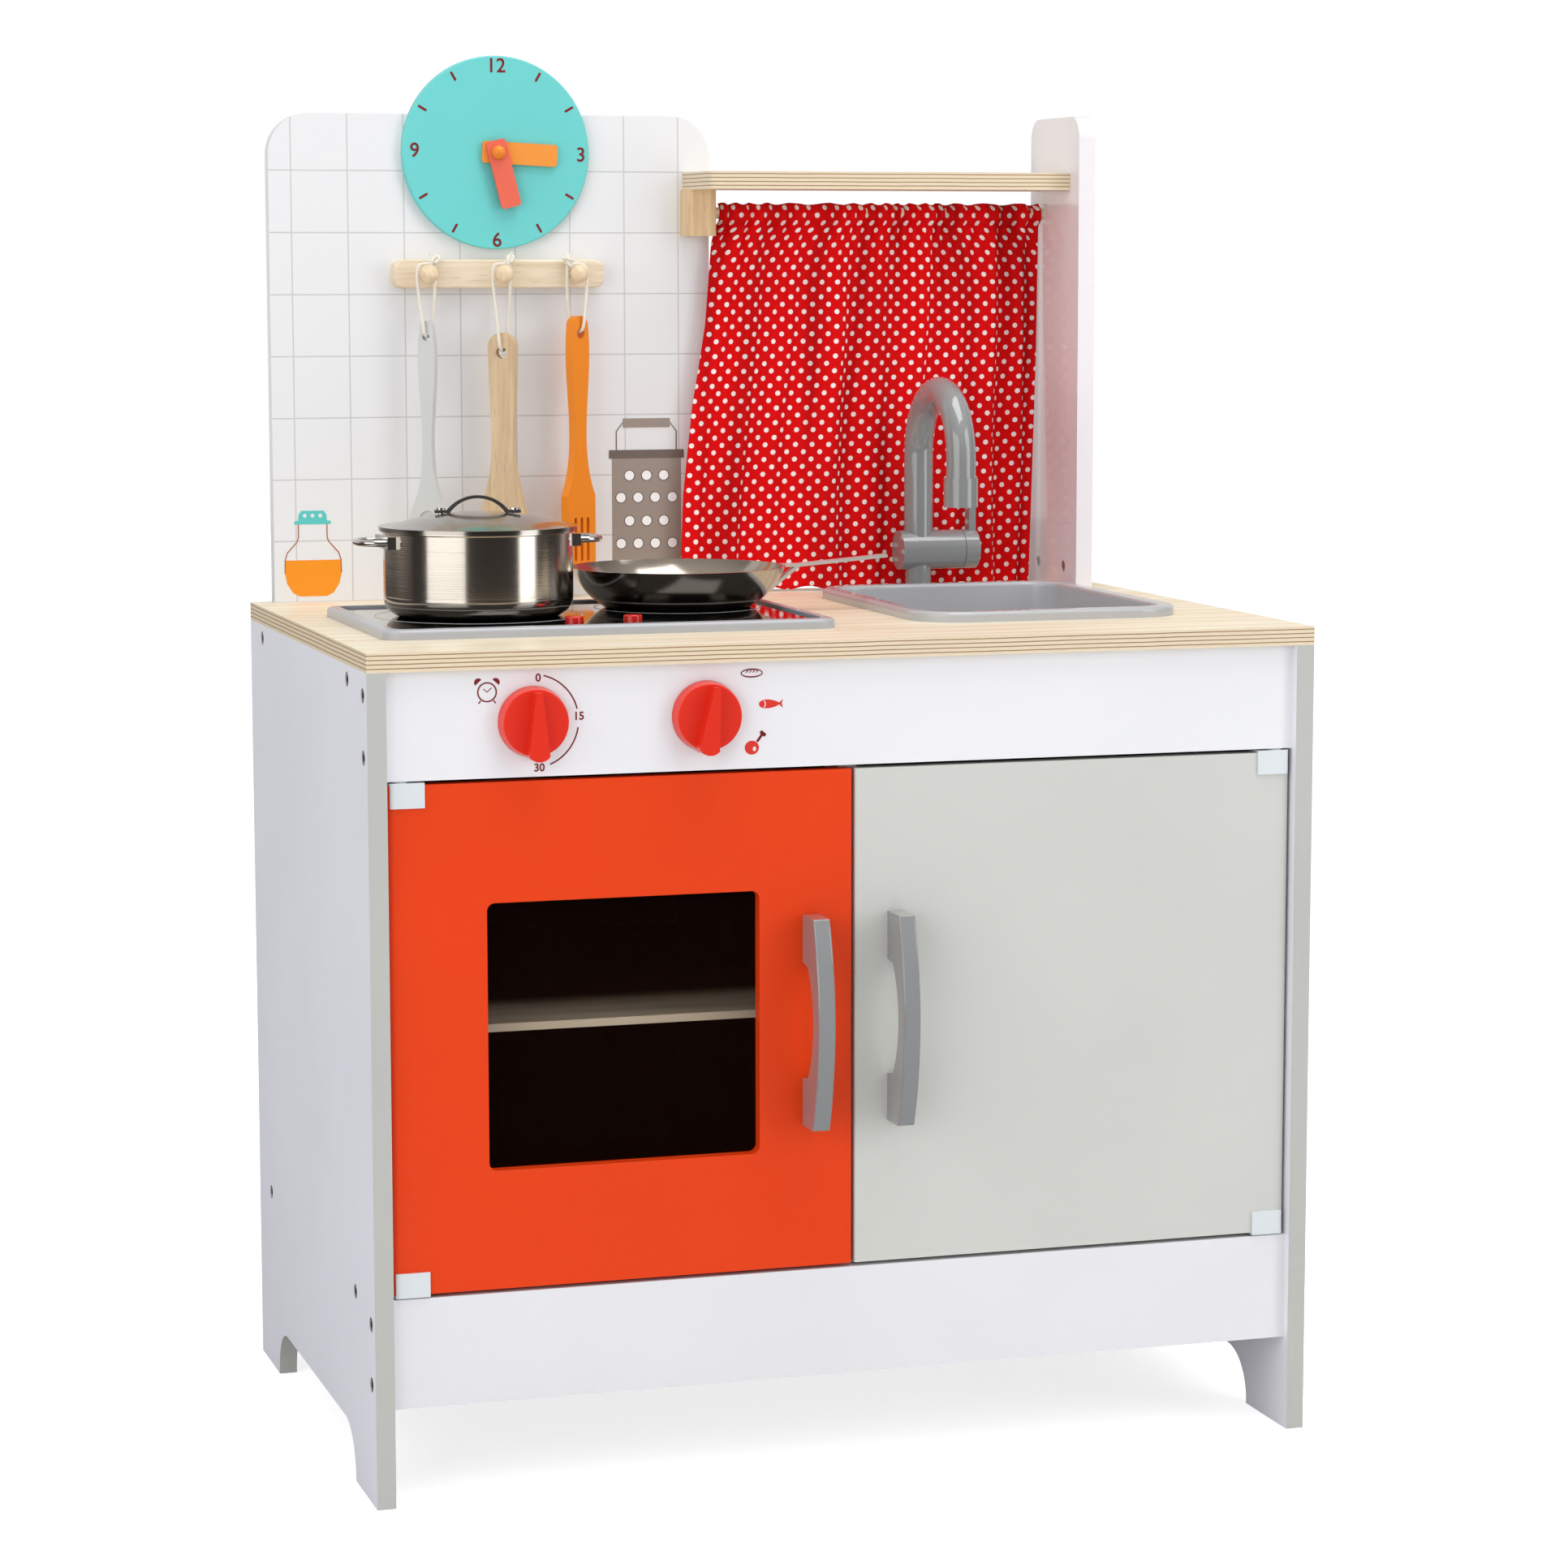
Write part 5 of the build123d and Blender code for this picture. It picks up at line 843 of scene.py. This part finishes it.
alarm_x, alarm_z = -0.2344, 0.5038
alarm_radius = 0.0062
alarm_shapes = [ring(alarm_x, alarm_z, alarm_radius, 36), ring(alarm_x, alarm_z, alarm_radius - 0.0009, 36)]
outline_print("alarm_rim", alarm_shapes, apron_print_y, print_dark_red)
alarm_hands = stroke(
    [(alarm_x - 0.0022, alarm_z + 0.0020), (alarm_x, alarm_z), (alarm_x + 0.0028, alarm_z + 0.0026)],
    0.0006,
)
outline_print("alarm_hands", [alarm_hands], apron_print_y, print_dark_red)
for end, side in (("left", -1), ("right", 1)):
    lean = math.radians(90 - side * 42)
    bell_x = alarm_x + 1.30 * alarm_radius * math.cos(lean)
    bell_z = alarm_z + 1.30 * alarm_radius * math.sin(lean)
    bell = ring(bell_x, bell_z, 0.0026, 14, lean - math.pi / 2, lean + math.pi / 2)
    outline_print(f"alarm_bell_{end}", [bell], apron_print_y, print_dark_red)
    lean = math.radians(-90 + side * 38)
    foot = [
        (alarm_x + reach * alarm_radius * math.cos(lean), alarm_z + reach * alarm_radius * math.sin(lean))
        for reach in (1.05, 1.40)
    ]
    outline_print(f"alarm_foot_{end}", [stroke(foot, 0.0008)], apron_print_y, print_dark_red)

bread_x, bread_z = -0.0665, 0.5105
bread = ring(bread_x, bread_z, 0.0072, 32, squash=0.40)
bread_inner = ring(bread_x, bread_z, 0.0065, 32, squash=0.30)
outline_print("bread", [bread, bread_inner], apron_print_y, print_dark_red)
cuts = [
    stroke([(bread_x + offset, bread_z + 0.0003), (bread_x + offset + 0.0017, bread_z + 0.0021)], 0.0005)
    for offset in (-0.0038, -0.0016, 0.0006, 0.0028)
]
outline_print("bread_cuts", cuts, apron_over_y, print_dark_red)

fish_x, fish_z = -0.0545, 0.4910
fish_body = [
    (fish_x + 0.0066 * math.cos(t) - 0.0008, fish_z + 0.0027 * math.sin(t) * (1 - 0.25 * math.cos(t)))
    for t in (2 * math.pi * i / 28 for i in range(28))
]
outline_print("fish_body", [fish_body], apron_print_y, print_red)
tail_outline = ((0.0050, 0.0), (0.0083, 0.0028), (0.0074, 0.0), (0.0083, -0.0028))
fish_tail = [(fish_x + x, fish_z + z) for x, z in tail_outline]
outline_print("fish_tail", [fish_tail], apron_print_y, print_red)
gill = stroke(ring(fish_x - 0.0062, fish_z, 0.0030, 8, -0.8, 0.8), 0.0005)
outline_print("fish_gill", [gill], apron_over_y, print_white)

leg_x, leg_z = -0.0665, 0.4640
meat = ring(leg_x, leg_z, 0.0046, 28, squash=0.95)
shine_hole = ring(leg_x + 0.0017, leg_z - 0.0008, 0.0011, 12, squash=1.4)
outline_print("drumstick_meat", [meat, shine_hole], apron_print_y, print_red)
bone = stroke([(leg_x + 0.0034, leg_z + 0.0036), (leg_x + 0.0068, leg_z + 0.0082)], 0.0016)
outline_print("drumstick_bone", [bone], apron_print_y, print_dark_red)
for number, (x, z) in enumerate(((0.0064, 0.0092), (0.0079, 0.0080))):
    knuckle = ring(leg_x + x, leg_z + z, 0.0013, 12)
    outline_print(f"drumstick_knuckle_{number}", [knuckle], apron_over_y, print_dark_red)


# The clock: a turquoise painted disc with dark red numbers and strokes, an orange and a coral
# hand, and a round orange pin.
clock_x, clock_z = -0.137, 0.838
clock_face_y = 0.196
dress("clock_face", painted("turquoise paint", linear(109, 209, 205), roughness=0.4))
dress("hour_hand", painted("coral paint", linear(236, 106, 82), roughness=0.4))
dress("minute_hand", painted("orange paint", linear(244, 152, 56), roughness=0.4))
dress("clock_pin", painted("orange pin paint", linear(240, 134, 34), roughness=0.25))
clock_print_y = clock_face_y - print_depth / 2
for text, x, z in (
    ("12", 0.0015, 0.0595), ("3", 0.0600, -0.0010), ("6", 0.0, -0.0595), ("9", -0.0575, 0.0015),
):
    numeral(text, clock_x + x, clock_z + z, 0.0098, clock_print_y)
tick_radius, tick_length, tick_width = 0.0597, 0.0070, 0.0017
tick_end = ring(0.0, (tick_length - tick_width) / 2, tick_width / 2, 8, 0.0, math.pi)
tick = tick_end + [(-x, -z) for x, z in tick_end]
ticks = []
for hour in (1, 2, 4, 5, 7, 8, 10, 11):
    lean = Matrix.Rotation(math.radians(-30 * hour), 2)
    placed = [lean @ Vector((x, z + tick_radius)) for x, z in tick]
    ticks.append([(clock_x + point.x, clock_z + point.y) for point in placed])
outline_print("clock_ticks", ticks, clock_print_y, print_dark_red)


# The curtain: thin red cotton with white dots, gathered on the rod by a sewn channel with a
# small frill above it. Its folds deepen and spread towards the worktop.
curtain_left_edge = (
    (0.8035, 0.0215), (0.790, 0.0205), (0.776, 0.0165), (0.719, 0.0115), (0.662, 0.0015), (0.600, -0.0055),
    (0.533, -0.0085),
)
curtain_right_edge = ((0.8035, 0.2610), (0.790, 0.2612), (0.700, 0.2600), (0.600, 0.2570), (0.533, 0.2550))
curtain_columns = 640
curtain_rows = 200
curtain_rod_z = 0.797
curtain_y = 0.1935


def along(table, z):
    """Straight-line value of a table of (height, x), from the top down."""
    for (z0, x0), (z1, x1) in zip(table, table[1:]):
        if z >= z1:
            share = (z0 - z) / (z0 - z1)
            return x0 + (x1 - x0) * min(max(share, 0.0), 1.0)
    return table[-1][1]


# Each fold: where it stands at the top and at the bottom, as shares of the width, and how
# strong and how wide it is. A fold rises slowly on its left and drops steeply on its right.
folds = (
    (0.060, 0.030, 0.50, 0.026), (0.140, 0.145, 0.85, 0.034), (0.250, 0.255, 0.35, 0.050),
    (0.370, 0.430, 1.00, 0.056), (0.520, 0.550, 0.45, 0.050), (0.640, 0.660, 0.65, 0.036),
    (0.750, 0.765, 0.40, 0.042), (0.845, 0.875, 0.90, 0.034), (0.945, 0.955, 0.50, 0.022),
)
fold_top, fold_growth, pucker_depth, ripple_depth = 0.0066, 0.0050, 0.0014, 0.0015


def fold_depth(u, v):
    """How far the cloth stands towards the front, from its share of width and of drop."""
    depth = 0.0
    for top, bottom, size, width in folds:
        centre = top + (bottom - top) * v + 0.004 * math.sin(7.0 * v + 30 * top)
        reach = width * (1.5 if u < centre else 0.5)
        depth += size * math.exp(-((u - centre) / reach) ** 2)
    soft = (fold_top + fold_growth * v ** 0.8) * depth
    gathers = math.sin(2 * math.pi * (30 * u + 0.9 * math.sin(9 * u + 1)))
    pucker = pucker_depth * math.exp(-v / 0.16) * gathers
    waves = math.sin(2 * math.pi * (13 * u + 1.1 * math.sin(5 * u) + 0.2 * v))
    ripple = ripple_depth * (1 - 0.5 * v) * waves
    return soft + pucker + ripple


curtain_top = 0.8035
curtain_bottom = 0.5325
folds_start = 0.789
frill_start, frill_height, frill_wave = 0.799, 0.0045, 0.0007
channel_depth, channel_half, channel_z = 0.0065, 0.0058, curtain_rod_z - 0.001
curtain = bmesh.new()
grid = []
for row in range(curtain_rows + 1):
    drop = row / curtain_rows
    z = curtain_top - (curtain_top - curtain_bottom) * drop
    line = []
    left = along(curtain_left_edge, z)
    right = along(curtain_right_edge, z)
    channel = channel_depth * math.exp(-((z - channel_z) / channel_half) ** 4)
    v = max(0.0, (folds_start - z) / (folds_start - curtain_bottom))
    raised = max(0.0, (z - frill_start) / frill_height) * frill_wave
    for column in range(curtain_columns + 1):
        u = column / curtain_columns
        hem = 0.0012 * math.sin(2 * math.pi * 9 * u) * v ** 3
        frill = raised * math.sin(2 * math.pi * (17 * u + 0.8 * math.sin(11 * u)))
        y = curtain_y - fold_depth(u, v) - channel
        line.append(curtain.verts.new((left + (right - left) * u, y, z + hem + frill)))
    grid.append(line)
for upper, lower in zip(grid, grid[1:]):
    for i in range(curtain_columns):
        curtain.faces.new((upper[i], lower[i], lower[i + 1], upper[i + 1]))
cloth_uv = curtain.loops.layers.uv.new("cloth")
across = []
for line in grid:
    walked = [0.0]
    for first, second in zip(line, line[1:]):
        walked.append(walked[-1] + (second.co - first.co).length)
    across.append(walked)
curtain.verts.index_update()
for face in curtain.faces:
    for corner in face.loops:
        row, column = divmod(corner.vert.index, curtain_columns + 1)
        middle = across[row][-1] / 2
        corner[cloth_uv].uv = (across[row][column] - middle, corner.vert.co.z)
curtain_mesh = bpy.data.meshes.new("curtain_cloth")
bmesh.ops.recalc_face_normals(curtain, faces=curtain.faces)
cloth_area = sum(face.calc_area() for face in curtain.faces)
curtain.to_mesh(curtain_mesh)
curtain.free()

cloth_red = linear(224, 12, 16)
dotted = new_material("red dotted cotton", cloth_red, roughness=0.85, specular=0.1)
dotted_tree = dotted.node_tree
dot_pitch = {"X": 0.0120, "Y": 0.0104}
dot_radius = 0.00175
cloth_place = add(dotted_tree, "ShaderNodeUVMap", uv_map="cloth")
cloth_parts = split(dotted_tree, cloth_place.outputs[0])
dot_masks = []
for shift in (0.0, 0.5):
    squares = []
    for axis in ("X", "Y"):
        scaled = calc(dotted_tree, "DIVIDE", cloth_parts[axis], dot_pitch[axis])
        moved = calc(dotted_tree, "ADD", scaled, shift)
        nearest = calc(dotted_tree, "ROUND", moved)
        offset = calc(dotted_tree, "SUBTRACT", moved, nearest)
        away = calc(dotted_tree, "MULTIPLY", offset, dot_pitch[axis] / dot_radius)
        squares.append(calc(dotted_tree, "POWER", away, 2.0))
    dot_masks.append(calc(dotted_tree, "LESS_THAN", calc(dotted_tree, "ADD", *squares), 1.0))
dots = calc(dotted_tree, "MAXIMUM", *dot_masks)
weave = {"Vector": cloth_place.outputs[0], "Scale": 520.0, "Distortion": 0.4}
yarns = [add(dotted_tree, "ShaderNodeTexWave", weave, bands_direction=way).outputs["Fac"] for way in "XY"]
threads = calc(dotted_tree, "ADD", *yarns)
# Soft dark vertical streaks at random places across the cloth: painted shade that stands in for the shade of
# its folds.
fold_shade_place = stretched(dotted_tree, cloth_place.outputs[0], (34.0, 3.0, 1.0))
fold_shade_noise = noise(dotted_tree, fold_shade_place, 1.0, 2.0)
fold_shade_tone = ranged(dotted_tree, fold_shade_noise, start=0.34, end=0.52, low=0.66, high=1.0)
cloth_dots = mixed(dotted_tree, dots, cloth_red, linear(250, 242, 240))
link_colour(dotted, mixed(dotted_tree, 1.0, cloth_dots, grey(dotted_tree, fold_shade_tone), "MULTIPLY"))
bump_from(dotted, threads, 0.25, 0.0002)
curtain_piece = finished("curtain_cloth", curtain_mesh, "cabinet", dotted)
cloth_thickness = curtain_piece.modifiers.new("cloth", "SOLIDIFY")
cloth_thickness.thickness = 0.0005
cloth_thickness.offset = 0.0
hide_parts("curtain")


# The pot, its lid and the pan: thin stainless steel, brushed round the walls. The pot's and the
# lid's handles are polished wire and the pan's handle is satin.
brushed, brushed_in, brushed_out = new_group(
    "spun steel",
    {"Centre x": 0.0, "Centre y": 0.0},
    {"Height": "NodeSocketFloat", "Roughness": "NodeSocketFloat"},
)
spun_place = add(brushed, "ShaderNodeTexCoord")
spun_parts = split(brushed, spun_place.outputs["Object"])
spun_squares = []
for axis, middle in (("X", "Centre x"), ("Y", "Centre y")):
    offset = calc(brushed, "SUBTRACT", spun_parts[axis], brushed_in.outputs[middle])
    spun_squares.append(calc(brushed, "POWER", offset, 2.0))
spun_radius = calc(brushed, "SQRT", calc(brushed, "ADD", *spun_squares))
spun_lines = add(brushed, "ShaderNodeCombineXYZ", {0: spun_radius, 2: spun_parts["Z"]})
spun_noise = noise(brushed, spun_lines.outputs[0], 1600.0, 2.0)
spun_rough = ranged(brushed, spun_noise, low=0.10, high=0.20)
brushed.links.new(spun_noise, brushed_out.inputs["Height"])
brushed.links.new(spun_rough, brushed_out.inputs["Roughness"])


def spun_steel(name, colour, centre):
    """Stainless sheet brushed in circles about the vessel's own axis."""
    made = new_material(name, colour, metallic=1.0)
    group = use_group(made, brushed, Centre_x=centre[0], Centre_y=centre[1])
    made.node_tree.links.new(group.outputs["Roughness"], shader_of(made).inputs["Roughness"])
    bump_from(made, group.outputs["Height"], 0.1, 0.0002)
    return made


dress("pot", spun_steel("pot steel", linear(204, 196, 186), pot_centre))
dress("pot_lid", spun_steel("lid steel", linear(176, 170, 163), pot_centre))
dress("pan", spun_steel("pan steel", linear(186, 178, 168), pan_centre))
polished = new_material("polished steel", linear(206, 204, 202), roughness=0.18, metallic=1.0)
for name in ("pot_handles", "lid_handle"):
    dress(name, polished)
dress("pan_handle", new_material("satin steel", linear(228, 225, 221), roughness=0.42, metallic=0.85))


# The plastic utensils: a pale grey spoon and an orange spatula, moulded with a satin skin.
# The third utensil is the wooden spoon, which has its finish with the other beech pieces.
dress("grey_spoon", moulded("pale grey plastic", linear(204, 206, 204), roughness=0.3, coat=0.2))
dress("orange_spatula", moulded("orange plastic", linear(244, 140, 22), roughness=0.35, coat=0.1))
